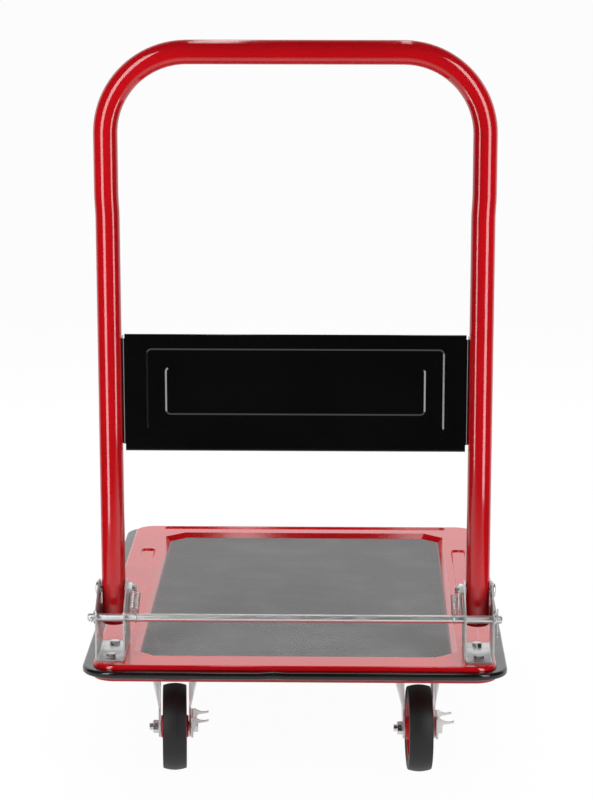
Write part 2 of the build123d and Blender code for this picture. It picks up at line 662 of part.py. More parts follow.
with BuildPart() as lock_rod_washers:
    for side in SIDES.values():
        seat = rod_plane(side * (BRACKET_OUTER_FACE + ROD_WASHER_GAP))
        extrude(
            disc(seat, ROD_WASHER_DIAMETER / 2, ROD_RADIUS + SEAT_CLEARANCE),
            amount=side * ROD_WASHER,
        )
finish(lock_rod_washers, "lock_rod_washers")

with BuildPart() as lock_rod_split_pins:
    for side, direction in PIN_DIRECTIONS.items():
        start = Vector(side * PIN_X, ROD_Y, ROD_Z) - Vector(direction) * (ROD_RADIUS + PIN_EYE / 2)
        pin_plane = Plane(origin=start, x_dir=(1, 0, 0), z_dir=direction)
        extrude(disc(pin_plane, PIN_WIRE / 2), amount=ROD_RADIUS + PIN_EYE / 2 + PIN_TAIL)
        eye_centre = start - Vector(direction) * PIN_EYE
        with Locations(Plane(origin=eye_centre, x_dir=direction, z_dir=(1, 0, 0))):
            Torus(PIN_EYE, PIN_WIRE / 2 - SEAT_CLEARANCE)
finish(lock_rod_split_pins, "lock_rod_split_pins")


# The lock springs: hook, lead, coil, lead, hook, in one unbroken wire
def biarc_joint(start, start_tangent, end, end_tangent):
    """The point where two arcs that share a tangent join, from one point and direction to another."""
    chord = end - start
    both = start_tangent + end_tangent
    a = 2 * (1 - start_tangent.dot(end_tangent))
    b = 2 * chord.dot(both)
    c = -chord.dot(chord)
    reach = -c / b if abs(a) < 1e-9 else (-b + sqrt(b * b - 4 * a * c)) / (2 * a)
    return (start + start_tangent * reach + end - end_tangent * reach) * 0.5


def lock_spring(side):
    """An extension spring from the pivot bolt's end to the lock rod."""
    top = Vector(side * SPRING_X, PIVOT_Y, PIVOT_Z)
    bottom = Vector(side * SPRING_X, ROD_Y, ROD_Z)
    along = (bottom - top).normalized()
    across = Vector(1, 0, 0)
    outward = along.cross(across)
    pitch = SPRING_WIRE + SPRING_GAP
    top_hook = PIVOT_RADIUS + SPRING_WIRE / 2 + SPRING_HOOK_GAP
    bottom_hook = ROD_RADIUS + SPRING_WIRE / 2 + SPRING_HOOK_GAP
    free_length = ROD_REACH - 2 * SPRING_LEAD
    half_turns = 2 * floor(free_length / pitch)
    coil_length = half_turns / 2 * pitch
    coil_start = top + along * ((ROD_REACH - coil_length) / 2)
    climb = pitch / (2 * pi * SPRING_RADIUS)

    def coil_point(turn):
        """A point of the coil and its direction, with the turn counted in full turns."""
        angle = 2 * pi * turn
        place = coil_start + along * (pitch * turn)
        place += (outward * cos(angle) + across * sin(angle)) * SPRING_RADIUS
        heading = across * cos(angle) - outward * sin(angle) + along * climb
        return place, heading.normalized()

    stations = [
        (top - outward * top_hook, -along),
        (top - along * top_hook, outward),
        (top + outward * top_hook, along),
    ]
    half_turn = (half_turns / 2 - 2 * SPRING_END_TURN) / half_turns
    stations += [coil_point(SPRING_END_TURN + k * half_turn) for k in range(half_turns + 1)]
    last_hook = outward * bottom_hook
    stations += [
        (bottom + last_hook, along),
        (bottom + along * bottom_hook, -outward),
        (bottom - last_hook, -along),
    ]
    with BuildPart() as spring:
        with BuildLine() as wire:
            straight = SPRING_WIRE
            Line(stations[0][0] - stations[0][1] * straight, stations[0][0])
            for (start, heading), (end, next_heading) in zip(stations, stations[1:]):
                joint = biarc_joint(start, heading, end, next_heading)
                first_arc = TangentArc(start, joint, tangent=heading)
                TangentArc(joint, end, tangent=first_arc % 1)
            Line(stations[-1][0], stations[-1][0] + stations[-1][1] * straight)
        with BuildSketch(Plane(origin=wire.line @ 0, z_dir=wire.line % 0)):
            Circle(SPRING_WIRE / 2)
        sweep()
    return spring, wire.wire()


def least_gap(wire):
    """The smallest gap between turns of a spring's wire, measured on points along it."""
    count = SPRING_SAMPLES
    step = wire.length / count
    skip = int(3 * SPRING_WIRE / step) + 1
    points = [wire @ (k / count) for k in range(count + 1)]
    nearest = min(
        (points[i] - points[j]).length for i in range(0, count + 1, 2) for j in range(i + skip, count + 1, 2)
    )
    return nearest - SPRING_WIRE


for side_name, side in SIDES.items():
    spring, spring_wire = lock_spring(side)
    print(side_name, "lock spring: least gap to itself", round(least_gap(spring_wire), 3), "mm")
    finish(spring, f"{side_name}_lock_spring")


# Casters
def caster_base(side, end, yaw):
    """A caster's own plane: origin on the floor under its plate, turned by its yaw."""
    turn = radians(yaw)
    return Plane(
        origin=(side * CASTER_X, end * CASTER_Y, 0),
        x_dir=(cos(turn), sin(turn), 0),
        z_dir=(0, 0, 1),
    )


def front_plane(base):
    """The caster's upright plane across the wheel, seen from the handle end."""
    return Plane(origin=base.origin, x_dir=base.x_dir, z_dir=-base.y_dir)


def side_plane(base):
    """The caster's upright plane along the wheel: local x runs back, local y runs up."""
    return Plane(origin=base.origin, x_dir=base.y_dir, z_dir=base.x_dir)


def axle_plane(base, trail, distance):
    """A plane across the axle, at a distance along it from the wheel's middle."""
    origin = base.from_local_coords((distance, -trail, AXLE_HEIGHT))
    return Plane(origin=origin, x_dir=(0, 0, 1), z_dir=base.x_dir)


RACE_OUTER = RACE_PITCH + RACE_HALF_WIDTH
RACE_INNER = RACE_PITCH - RACE_HALF_WIDTH
KING_PIN_RADIUS = KING_PIN_DIAMETER / 2
FORK_WAIST = AXLE_HEIGHT + FORK_WAIST_RISE
WAIST_TRAIL = CASTER_TRAIL * (FORK_CROWN - FORK_WAIST) / (FORK_CROWN - AXLE_HEIGHT)


def fork_shell(base, inset):
    """The round crown and the flat-sided waist that the fork's shell runs between, drawn in by an inset."""
    crown = disc(base.offset(FORK_CROWN - inset), FORK_CROWN_RADIUS - inset)
    with BuildSketch(base.offset(FORK_WAIST)) as waist:
        with Locations((0, -WAIST_TRAIL)):
            RectangleRounded(2 * (FORK_OUTER - inset), FORK_WAIST_DEPTH - 2 * inset, FORK_WAIST_CORNER)
    return [crown, waist.sketch]


def swivel_top_plate(base):
    """The caster's mounting plate with its pressed upper race."""
    with BuildPart() as plate:
        with BuildSketch(Plane.XY.offset(PLATE_BOTTOM)):
            with Locations((base.origin.X, base.origin.Y)):
                RectangleRounded(CASTER_PLATE_WIDTH, CASTER_PLATE_LENGTH, CASTER_PLATE_CORNER)
                with GridLocations(CASTER_HOLE_SPACING_X, CASTER_HOLE_SPACING_Y, 2, 2):
                    Circle(BOLT_HOLE, mode=Mode.SUBTRACT)
        extrude(amount=CASTER_PLATE)
        extrude(disc(base.offset(UPPER_RACE_BOTTOM), RACE_OUTER), amount=PLATE_BOTTOM - UPPER_RACE_BOTTOM)
        with Locations(base.offset(BALL_CENTRE)):
            Torus(RACE_PITCH, BALL_DIAMETER / 2 + BALL_RUNNING_GAP, mode=Mode.SUBTRACT)
        extrude(
            disc(base.offset(UPPER_RACE_BOTTOM), KING_PIN_RADIUS + SEAT_CLEARANCE),
            amount=CASTER_MOUNT - UPPER_RACE_BOTTOM,
            mode=Mode.SUBTRACT,
        )
        with Locations(base.offset(CASTER_MOUNT - CASTER_PLATE / 2)):
            Cone(
                KING_PIN_RADIUS + SEAT_CLEARANCE,
                KING_PIN_RADIUS + KING_PIN_FLARE + SEAT_CLEARANCE,
                CASTER_PLATE,
                mode=Mode.SUBTRACT,
            )
    return plate


def king_pin(base):
    """The rivet that the fork turns on: flush on the plate, with a round head under the crown."""
    head_top = FORK_CROWN - FORK_SHEET - BALL_RUNNING_GAP
    with BuildPart() as pin:
        extrude(disc(base.offset(head_top), KING_PIN_HEAD / 2), amount=-KING_PIN_HEAD_HEIGHT)
        extrude(disc(base.offset(head_top), KING_PIN_RADIUS), amount=CASTER_MOUNT - head_top)
        with Locations(base.offset(CASTER_MOUNT - CASTER_PLATE / 2)):
            Cone(KING_PIN_RADIUS, KING_PIN_RADIUS + KING_PIN_FLARE, CASTER_PLATE)
    return pin


def swivel_fork(base):
    """The turning fork: crown with the lower race, legs that trail down to the axle."""
    with BuildPart() as fork:
        loft(fork_shell(base, 0))
        loft(fork_shell(base, FORK_SHEET), mode=Mode.SUBTRACT)
        with BuildSketch(side_plane(base)) as leg:
            with Locations((-WAIST_TRAIL, FORK_WAIST + FORK_SHEET / 2)):
                Rectangle(FORK_WAIST_DEPTH, FORK_SHEET)
            with Locations((-CASTER_TRAIL, AXLE_HEIGHT)):
                Circle(FORK_EYE)
            make_hull(leg.edges())
        extrude(amount=FORK_OUTER, both=True)
        with BuildSketch(front_plane(base)):
            with Locations((0, (FORK_CROWN - FORK_SHEET) / 2)):
                Rectangle(FORK_INSIDE, FORK_CROWN - FORK_SHEET)
        extrude(amount=WHEEL_DIAMETER, both=True, mode=Mode.SUBTRACT)
        extrude(disc(base.offset(FORK_CROWN), RACE_OUTER, RACE_INNER), amount=LOWER_RACE)
        with Locations(base.offset(BALL_CENTRE)):
            Torus(RACE_PITCH, BALL_DIAMETER / 2 + SEAT_CLEARANCE, mode=Mode.SUBTRACT)
        extrude(
            disc(base.offset(FORK_CROWN), KING_PIN_RADIUS + RUNNING_CLEARANCE),
            amount=2 * FORK_SHEET,
            both=True,
            mode=Mode.SUBTRACT,
        )
        extrude(
            disc(axle_plane(base, CASTER_TRAIL, 0), AXLE_RADIUS + SEAT_CLEARANCE),
            amount=2 * FORK_OUTER,
            both=True,
            mode=Mode.SUBTRACT,
        )
    return fork


def swivel_balls(base):
    """The ring of balls between the two races."""
    count = int(2 * pi * RACE_PITCH / (BALL_DIAMETER * BALL_SPACING))
    with BuildPart() as balls:
        with Locations(base.offset(BALL_CENTRE)):
            with PolarLocations(RACE_PITCH, count):
                Sphere(BALL_DIAMETER / 2)
    return balls


def fixed_bracket(base):
    """A fixed caster's plate with its two legs."""
    half = FORK_SHEET / 2
    with BuildPart() as bracket:
        with BuildSketch(front_plane(base)):
            with BuildLine():
                FilletPolyline(
                    (half - FORK_OUTER, AXLE_HEIGHT - FORK_EYE),
                    (half - FORK_OUTER, FORK_WAIST),
                    (half - FIXED_CROWN_HALF_WIDTH, PLATE_BOTTOM - half),
                    (FIXED_CROWN_HALF_WIDTH - half, PLATE_BOTTOM - half),
                    (FORK_OUTER - half, FORK_WAIST),
                    (FORK_OUTER - half, AXLE_HEIGHT - FORK_EYE),
                    radius=FIXED_BEND,
                )
            trace(line_width=FORK_SHEET)
        extrude(amount=FIXED_CROWN_DEPTH, both=True)
        with BuildSketch(side_plane(base)) as outline:
            with Locations((0, PLATE_BOTTOM - FIXED_CROWN_EDGE / 2)):
                Rectangle(FIXED_CROWN_DEPTH, FIXED_CROWN_EDGE)
            with Locations((0, AXLE_HEIGHT)):
                Circle(FORK_EYE)
            make_hull(outline.edges())
        extrude(amount=2 * FIXED_CROWN_HALF_WIDTH, both=True, mode=Mode.INTERSECT)
        with BuildSketch(Plane.XY.offset(PLATE_BOTTOM)):
            with Locations((base.origin.X, base.origin.Y)):
                RectangleRounded(CASTER_PLATE_WIDTH, CASTER_PLATE_LENGTH, CASTER_PLATE_CORNER)
                with GridLocations(CASTER_HOLE_SPACING_X, CASTER_HOLE_SPACING_Y, 2, 2):
                    Circle(BOLT_HOLE, mode=Mode.SUBTRACT)
        extrude(amount=CASTER_PLATE)
        extrude(
            disc(axle_plane(base, 0, 0), AXLE_RADIUS + SEAT_CLEARANCE),
            amount=2 * FORK_OUTER,
            both=True,
            mode=Mode.SUBTRACT,
        )
    return bracket


def wheel_core(base, trail):
    """The moulded core: hub, web and rim, turned about the axle."""
    wheel_radius = WHEEL_DIAMETER / 2
    rim_radius = wheel_radius - TYRE_DEPTH
    bore = SLEEVE_DIAMETER / 2 + RUNNING_CLEARANCE
    hub = HUB_DIAMETER / 2
    plane = side_plane(base)
    section_plane = Plane(
        origin=base.from_local_coords((0, -trail, AXLE_HEIGHT)), x_dir=base.x_dir, z_dir=plane.x_dir
    )
    with BuildPart() as core:
        with BuildSketch(section_plane):
            with BuildLine():
                Polyline(
                    (HUB_WIDTH / 2, bore),
                    (HUB_WIDTH / 2, hub),
                    (WEB_THICKNESS / 2, hub + HUB_FLARE),
                    (WEB_THICKNESS / 2, rim_radius - RIM_DEPTH),
                    (RIM_WIDTH / 2, rim_radius - RIM_DEPTH / 2),
                    (RIM_WIDTH / 2, rim_radius),
                    (0, rim_radius),
                    (0, bore),
                    close=True,
                )
            make_face()
            mirror(about=Plane.YZ)
        revolve(axis=Axis(section_plane.origin, base.x_dir))
    return core


def wheel_tyre(base, trail):
    """The tyre: a crowned band with rounded shoulders round the core."""
    wheel_radius = WHEEL_DIAMETER / 2
    rim_radius = wheel_radius - TYRE_DEPTH + SEAT_CLEARANCE
    half = TREAD_WIDTH / 2
    shoulder = wheel_radius - TREAD_CROWN
    plane = side_plane(base)
    section_plane = Plane(
        origin=base.from_local_coords((0, -trail, AXLE_HEIGHT)), x_dir=base.x_dir, z_dir=plane.x_dir
    )
    with BuildPart() as tyre:
        with BuildSketch(section_plane) as section:
            with BuildLine():
                ThreePointArc((-half, shoulder), (0, wheel_radius), (half, shoulder))
                Polyline(
                    (half, shoulder),
                    (half, rim_radius + TREAD_SHOULDER),
                    (RIM_WIDTH / 2, rim_radius),
                    (-RIM_WIDTH / 2, rim_radius),
                    (-half, rim_radius + TREAD_SHOULDER),
                    (-half, shoulder),
                )
            make_face()
            fillet(section.vertices().sort_by(Axis.Y)[-2:], TREAD_SHOULDER)
        revolve(axis=Axis(section_plane.origin, base.x_dir))
    return tyre


def axle_sleeve(base, trail):
    """The steel tube that the legs clamp and the wheel turns on."""
    length = FORK_INSIDE - 2 * SEAT_CLEARANCE
    with BuildPart() as sleeve:
        extrude(
            disc(axle_plane(base, trail, -length / 2), SLEEVE_DIAMETER / 2, AXLE_RADIUS + SEAT_CLEARANCE),
            amount=length,
        )
    return sleeve


def axle_bolt(base, trail, head_seat):
    """The axle bolt: its head on the right, its thread through the nut on the left."""
    length = head_seat + FORK_OUTER + AXLE_NUT + AXLE_END
    with BuildPart() as bolt:
        extrude(hexagon(axle_plane(base, trail, head_seat), AXLE_FLATS), amount=AXLE_HEAD)
        extrude(disc(axle_plane(base, trail, head_seat), AXLE_RADIUS), amount=-length)
    return bolt


def axle_nut(base, trail):
    """The nut on the left leg."""
    with BuildPart() as nut:
        extrude(
            hexagon(axle_plane(base, trail, -FORK_OUTER), AXLE_FLATS, AXLE_RADIUS + SEAT_CLEARANCE),
            amount=-AXLE_NUT,
        )
    return nut


def brake_rocker(base):
    """The side brake: a plate on the axle bolt whose two ends turn outwards into blunt toe ears."""
    start = FORK_OUTER + BRAKE_GAP
    cheek = start + BRAKE_CHEEK
    tip = start + BRAKE_EAR_REACH
    top = AXLE_HEIGHT + BRAKE_TOP
    bottom = AXLE_HEIGHT - BRAKE_BOTTOM
    ear_top = AXLE_HEIGHT + BRAKE_EAR_TIP + BRAKE_EAR_END / 2
    ear_under = ear_top - BRAKE_EAR_END
    ear_root = AXLE_HEIGHT + BRAKE_EAR_ROOT
    flat_end = cheek - BRAKE_CORNER
    hollow = ((flat_end + tip) / 2, (top + ear_top) / 2 - BRAKE_EAR_HOLLOW)
    with BuildPart() as rocker:
        with BuildSketch(side_plane(base).offset(start)):
            with Locations((-CASTER_TRAIL, (top + bottom) / 2)):
                RectangleRounded(2 * BRAKE_SPREAD, top - bottom, BRAKE_CORNER)
        extrude(amount=BRAKE_PLATE)
        for end in (-1, 1):
            origin = base.from_local_coords((0, -CASTER_TRAIL + end * (BRAKE_SPREAD - BRAKE_PLATE / 2), 0))
            with BuildSketch(Plane(origin=origin, x_dir=base.x_dir, z_dir=-base.y_dir)):
                with BuildLine():
                    Polyline((start, bottom + BRAKE_CORNER), (start, top), (flat_end, top))
                    ThreePointArc((flat_end, top), hollow, (tip, ear_top))
                    Polyline(
                        (tip, ear_top), (tip, ear_under), (cheek, ear_root), (start, bottom + BRAKE_CORNER)
                    )
                make_face()
            extrude(amount=BRAKE_PLATE / 2, both=True)
        extrude(
            disc(axle_plane(base, CASTER_TRAIL, start), AXLE_RADIUS + RUNNING_CLEARANCE),
            amount=BRAKE_PLATE,
            mode=Mode.SUBTRACT,
        )
    return rocker


for side_name, side in SIDES.items():
    base = caster_base(side, -1, CASTER_YAW)
    name = f"{side_name}_swivel"
    finish(swivel_top_plate(base), f"{name}_top_plate")
    finish(king_pin(base), f"{name}_king_pin")
    finish(swivel_fork(base), f"{name}_fork")
    finish(swivel_balls(base), f"{name}_balls")
    finish(wheel_core(base, CASTER_TRAIL), f"{name}_wheel_core")
    finish(wheel_tyre(base, CASTER_TRAIL), f"{name}_wheel_tyre")
    finish(axle_sleeve(base, CASTER_TRAIL), f"{name}_axle_sleeve")
    finish(axle_bolt(base, CASTER_TRAIL, BRAKE_OUTER + BRAKE_GAP), f"{name}_axle_bolt")
    finish(axle_nut(base, CASTER_TRAIL), f"{name}_axle_nut")
    finish(brake_rocker(base), f"{name}_brake_rocker")

for side_name, side in SIDES.items():
    base = caster_base(side, 1, 0)
    name = f"{side_name}_fixed"
    finish(fixed_bracket(base), f"{name}_caster_bracket")
    finish(wheel_core(base, 0), f"{name}_wheel_core")
    finish(wheel_tyre(base, 0), f"{name}_wheel_tyre")
    finish(axle_sleeve(base, 0), f"{name}_axle_sleeve")
    finish(axle_bolt(base, 0, FORK_OUTER), f"{name}_axle_bolt")
    finish(axle_nut(base, 0), f"{name}_axle_nut")

with BuildPart() as caster_bolts:
    web_top = CASTER_MOUNT + CHANNEL_SHEET
    extrude(hexagon(Plane.XY.offset(web_top), BOLT_FLATS, places=CASTER_BOLTS), amount=BOLT_HEAD)
    extrude(
        disc(Plane.XY.offset(web_top), BOLT_DIAMETER / 2, places=CASTER_BOLTS),
        amount=-(CHANNEL_SHEET + CASTER_PLATE + BOLT_NUT + BOLT_END),
    )
finish(caster_bolts, "caster_bolts")

with BuildPart() as caster_nuts:
    extrude(
        hexagon(Plane.XY.offset(PLATE_BOTTOM), BOLT_FLATS, NUT_BORE, CASTER_BOLTS),
        amount=-BOLT_NUT,
    )
finish(caster_nuts, "caster_nuts")
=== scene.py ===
# %% [markdown]
# # A folding platform trolley
# The frame holds the trolley's solids at their real size: the pressed deck, the bent tube handle, the
# foot lock and the casters. This lesson dresses those solids. It builds the finishes first, then the
# studio, and then each piece that needs more shape than its solid has.

import json
from math import copysign, cos, floor, pi, radians, sin, sqrt, tan

import bmesh
import bpy
from mathutils import Vector
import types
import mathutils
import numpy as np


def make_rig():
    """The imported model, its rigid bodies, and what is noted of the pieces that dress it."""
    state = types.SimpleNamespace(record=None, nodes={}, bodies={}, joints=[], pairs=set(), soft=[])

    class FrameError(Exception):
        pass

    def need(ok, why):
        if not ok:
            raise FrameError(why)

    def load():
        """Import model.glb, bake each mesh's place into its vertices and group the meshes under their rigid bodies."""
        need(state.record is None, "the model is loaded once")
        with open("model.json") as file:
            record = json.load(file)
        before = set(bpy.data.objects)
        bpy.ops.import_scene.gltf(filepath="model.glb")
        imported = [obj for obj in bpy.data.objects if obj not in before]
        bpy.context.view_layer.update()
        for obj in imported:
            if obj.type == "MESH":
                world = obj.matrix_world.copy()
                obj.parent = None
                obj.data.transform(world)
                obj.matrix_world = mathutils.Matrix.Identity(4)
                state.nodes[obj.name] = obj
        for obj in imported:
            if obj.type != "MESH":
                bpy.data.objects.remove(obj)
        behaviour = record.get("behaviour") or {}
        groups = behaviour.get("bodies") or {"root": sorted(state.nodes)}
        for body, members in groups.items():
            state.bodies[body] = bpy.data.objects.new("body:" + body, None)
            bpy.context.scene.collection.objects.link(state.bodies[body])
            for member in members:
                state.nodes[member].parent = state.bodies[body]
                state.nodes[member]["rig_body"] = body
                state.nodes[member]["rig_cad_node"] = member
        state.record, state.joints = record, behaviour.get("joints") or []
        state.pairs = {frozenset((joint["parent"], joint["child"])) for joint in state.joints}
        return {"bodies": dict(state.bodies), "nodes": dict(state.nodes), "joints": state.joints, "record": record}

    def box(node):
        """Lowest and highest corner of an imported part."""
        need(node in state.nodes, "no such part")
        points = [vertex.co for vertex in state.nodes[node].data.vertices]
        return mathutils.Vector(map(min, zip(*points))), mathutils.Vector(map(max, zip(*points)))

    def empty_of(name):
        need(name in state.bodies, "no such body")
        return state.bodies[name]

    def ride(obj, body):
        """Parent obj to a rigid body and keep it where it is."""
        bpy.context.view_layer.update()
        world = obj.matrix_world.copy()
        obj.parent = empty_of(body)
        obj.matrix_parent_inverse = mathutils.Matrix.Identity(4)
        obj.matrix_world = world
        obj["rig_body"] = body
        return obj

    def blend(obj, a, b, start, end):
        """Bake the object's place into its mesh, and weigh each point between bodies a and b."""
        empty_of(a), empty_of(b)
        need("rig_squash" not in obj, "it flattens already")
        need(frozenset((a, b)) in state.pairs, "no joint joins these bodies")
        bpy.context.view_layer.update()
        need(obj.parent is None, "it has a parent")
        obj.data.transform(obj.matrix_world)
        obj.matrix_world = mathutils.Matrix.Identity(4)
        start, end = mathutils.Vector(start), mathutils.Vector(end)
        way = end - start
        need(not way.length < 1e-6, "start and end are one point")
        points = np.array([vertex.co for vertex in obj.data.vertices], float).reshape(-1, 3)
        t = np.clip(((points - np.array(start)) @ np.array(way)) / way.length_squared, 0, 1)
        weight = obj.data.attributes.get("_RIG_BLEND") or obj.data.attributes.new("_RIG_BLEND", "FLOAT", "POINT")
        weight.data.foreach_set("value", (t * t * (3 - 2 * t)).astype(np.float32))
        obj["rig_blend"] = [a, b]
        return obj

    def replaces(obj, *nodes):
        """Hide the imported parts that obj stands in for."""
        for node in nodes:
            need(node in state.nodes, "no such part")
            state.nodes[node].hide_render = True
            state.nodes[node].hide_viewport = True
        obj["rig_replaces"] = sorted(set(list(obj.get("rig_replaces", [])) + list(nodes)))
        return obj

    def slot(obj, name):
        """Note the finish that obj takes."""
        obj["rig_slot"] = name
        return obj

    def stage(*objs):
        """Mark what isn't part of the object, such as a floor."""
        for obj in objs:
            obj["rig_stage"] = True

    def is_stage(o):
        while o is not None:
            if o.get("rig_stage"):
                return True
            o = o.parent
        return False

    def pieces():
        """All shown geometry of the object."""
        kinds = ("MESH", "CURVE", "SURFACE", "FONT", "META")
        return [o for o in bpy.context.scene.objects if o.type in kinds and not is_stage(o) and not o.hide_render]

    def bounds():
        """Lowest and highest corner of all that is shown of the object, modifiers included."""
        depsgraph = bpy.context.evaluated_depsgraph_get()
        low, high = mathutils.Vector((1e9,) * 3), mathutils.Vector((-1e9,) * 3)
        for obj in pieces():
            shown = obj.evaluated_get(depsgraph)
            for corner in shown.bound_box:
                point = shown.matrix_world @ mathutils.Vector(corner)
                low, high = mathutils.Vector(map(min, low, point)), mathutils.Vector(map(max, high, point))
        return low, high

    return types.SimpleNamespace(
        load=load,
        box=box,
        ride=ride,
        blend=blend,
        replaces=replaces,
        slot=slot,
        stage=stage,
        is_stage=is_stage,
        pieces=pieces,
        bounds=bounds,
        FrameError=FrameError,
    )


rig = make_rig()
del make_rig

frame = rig.load()
cad_low, cad_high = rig.bounds()
cad_nodes = frame["nodes"]
record = frame["record"]
joints = {joint["name"]: joint for joint in frame["joints"]}
body_of = {node: body for body, group in record["behaviour"]["bodies"].items() for node in group}
slot_of = {subpart["node"]: subpart["material_slot"] for subpart in record["subparts"]}
MM = 0.001
SIDES = ("left", "right")
ENDS = ("swivel", "fixed")
CASTERS = [f"{side}_{end}" for side in SIDES for end in ENDS]
cad_size = [round(v, 4) for v in cad_high - cad_low]
print(len(cad_nodes), "solids on", len(frame["bodies"]), "bodies, box", cad_size)

# %% [markdown]
# ## Writing node trees as expressions
# A node tree is a set of boxes and wires, and a long list of link calls hides what it works out. Here a
# wire is a small object with the usual operators, so a mask can be written as `1 - wear * 0.5`. One
# method makes every other node. The same two classes serve the finishes and the Geometry Nodes shapes.


# %% A wire that does arithmetic
class Wire:
    """A socket of a node tree. Arithmetic on it adds Math nodes to that tree."""

    def __init__(self, graph, socket):
        self.graph = graph
        self.socket = socket

    def math(self, operation, first, second=0.0):
        return self.graph.node("ShaderNodeMath", {"operation": operation}, {0: first, 1: second})

    def __add__(self, other):
        return self.math("ADD", self, other)

    def __sub__(self, other):
        return self.math("SUBTRACT", self, other)

    def __rsub__(self, other):
        return self.math("SUBTRACT", other, self)

    def __mul__(self, other):
        return self.math("MULTIPLY", self, other)

    def __truediv__(self, other):
        return self.math("DIVIDE", self, other)

    def __gt__(self, other):
        return self.math("GREATER_THAN", self, other)

    def __mod__(self, other):
        return self.math("FLOORED_MODULO", self, other)

    def __abs__(self):
        return self.math("ABSOLUTE", self)

    def __round__(self):
        return self.math("ROUND", self)

    __radd__ = __add__
    __rmul__ = __mul__


print("Wire has", len([name for name in vars(Wire) if name.startswith("__")]), "special methods")


# %% A tree that makes its nodes with one method
class Graph:
    """A node tree whose nodes all come from one method."""

    def __init__(self, tree):
        self.tree = tree

    def node(self, kind, settings=None, inputs=None, output=0):
        """Adds a node, sets its settings, then its sockets, and returns one of its outputs."""
        node = self.tree.nodes.new(kind)
        for setting, value in (settings or {}).items():
            setattr(node, setting, value)
        for key, value in (inputs or {}).items():
            for item in value if isinstance(value, list) else [value]:
                if isinstance(item, Wire):
                    self.tree.links.new(item.socket, node.inputs[key])
                else:
                    node.inputs[key].default_value = item
        return Wire(self, node.outputs[output]) if len(node.outputs) else node

    def band(self, wire, low, high):
        """0 below one value, 1 above another, and smooth between them."""
        return self.node(
            "ShaderNodeMapRange",
            {"interpolation_type": "SMOOTHSTEP"},
            {"Value": wire, "From Min": low, "From Max": high},
        )

    def part(self, vector, axis):
        """The X, Y or Z of a vector."""
        return self.node("ShaderNodeSeparateXYZ", {}, {0: vector}, axis)


print("one node method serves every tree that", Graph.__name__, "wraps")


# %% A finish is a tree on a piece's own coordinates
class Finish(Graph):
    """A procedural material on Object coordinates."""

    def __init__(self, name, constants):
        self.material = bpy.data.materials.new(name)
        self.material.use_nodes = True
        super().__init__(self.material.node_tree)
        self.shader = self.tree.nodes["Principled BSDF"]
        for socket, value in constants.items():
            self.shader.inputs[socket].default_value = value
        self.place = self.node("ShaderNodeTexCoord", output="Object")

    def feed(self, socket, wire):
        self.tree.links.new(wire.socket, self.shader.inputs[socket])

    def noise(self, per_metre, detail, stretch=(1, 1, 1)):
        """Soft noise from 0 to 1, with about that many spots in a metre, stretched along an axis."""
        scaled = self.node("ShaderNodeVectorMath", {"operation": "MULTIPLY"}, {0: self.place, 1: stretch})
        return self.node("ShaderNodeTexNoise", {}, {"Vector": scaled, "Scale": per_metre, "Detail": detail})

    def cells(self, per_metre):
        """Voronoi cells, for the spangle of zinc."""
        sockets = {"Vector": self.place, "Scale": per_metre}
        return self.node("ShaderNodeTexVoronoi", {"feature": "F1"}, sockets)

    def blend(self, factor, first, second):
        """A colour between two colours."""
        return self.node("ShaderNodeMix", {"data_type": "RGBA"}, {0: factor, 6: first, 7: second}, 2)

    def relief(self, height, depth):
        """A bump of that depth in metres, on the shader's Normal."""
        sockets = {"Height": height, "Distance": depth, "Strength": 1.0}
        self.feed("Normal", self.node("ShaderNodeBump", {}, sockets))


def grey(tone):
    """A neutral colour."""
    return (tone, tone, tone)


print(Finish.__name__, "adds a shader, noise, cells, colour blends and relief")

# %% [markdown]
# ## Enamel
# The deck and the handle are stoved in a bright red gloss enamel and the panel in black. Sprayed enamel
# is never quite flat: it has a fine orange peel, a slow change of depth in the colour, faint smears and a
# few specks of dust under the gloss. Those come from four noises of different size on the same coordinates.

# %% The enamel finishes
ENAMEL_IOR = 1.6
DRIFTS_PER_METRE = 9.0
DRIFT_BAND = (0.35, 0.75)
DRIFT_SHARE = 0.55
SPECKS_PER_METRE = 900.0
SPECK_BAND = (0.74, 0.8)
SPECK_SHARE = 0.35
SPECK_DULLNESS = 0.2
SPECK_RISE = 0.3
SMEARS_PER_METRE = 26.0
SMEAR_DULLNESS = 0.05
PEEL_PER_METRE = 240.0


def enamel(name, colour, deep, roughness, peel):
    """Gloss paint: its colour, the deeper tone it drifts to, its roughness and its orange peel in mm."""
    paint = Finish(name, {"IOR": ENAMEL_IOR})
    drift = paint.band(paint.noise(DRIFTS_PER_METRE, detail=3.0), *DRIFT_BAND)
    specks = paint.band(paint.noise(SPECKS_PER_METRE, detail=1.0), *SPECK_BAND)
    deepening = drift * DRIFT_SHARE + specks * SPECK_SHARE
    paint.feed("Base Color", paint.blend(deepening, (*colour, 1), (*deep, 1)))
    smear = paint.noise(SMEARS_PER_METRE, detail=4.0)
    paint.feed("Roughness", roughness + smear * SMEAR_DULLNESS + specks * SPECK_DULLNESS)
    paint.relief(paint.noise(PEEL_PER_METRE, detail=1.5) + specks * SPECK_RISE, peel * MM)
    return paint.material


RED_ENAMEL = enamel("red_enamel", (0.46, 0.003, 0.007), (0.39, 0.002, 0.005), roughness=0.07, peel=0.03)
BLACK_ENAMEL = enamel("black_enamel", grey(0.0012), grey(0.0025), roughness=0.08, peel=0.02)
CHANNEL_ENAMEL = enamel(
    "channel_enamel", (0.45, 0.004, 0.009), (0.32, 0.003, 0.006), roughness=0.32, peel=0.08
)
print("enamels:", RED_ENAMEL.name, BLACK_ENAMEL.name, CHANNEL_ENAMEL.name)

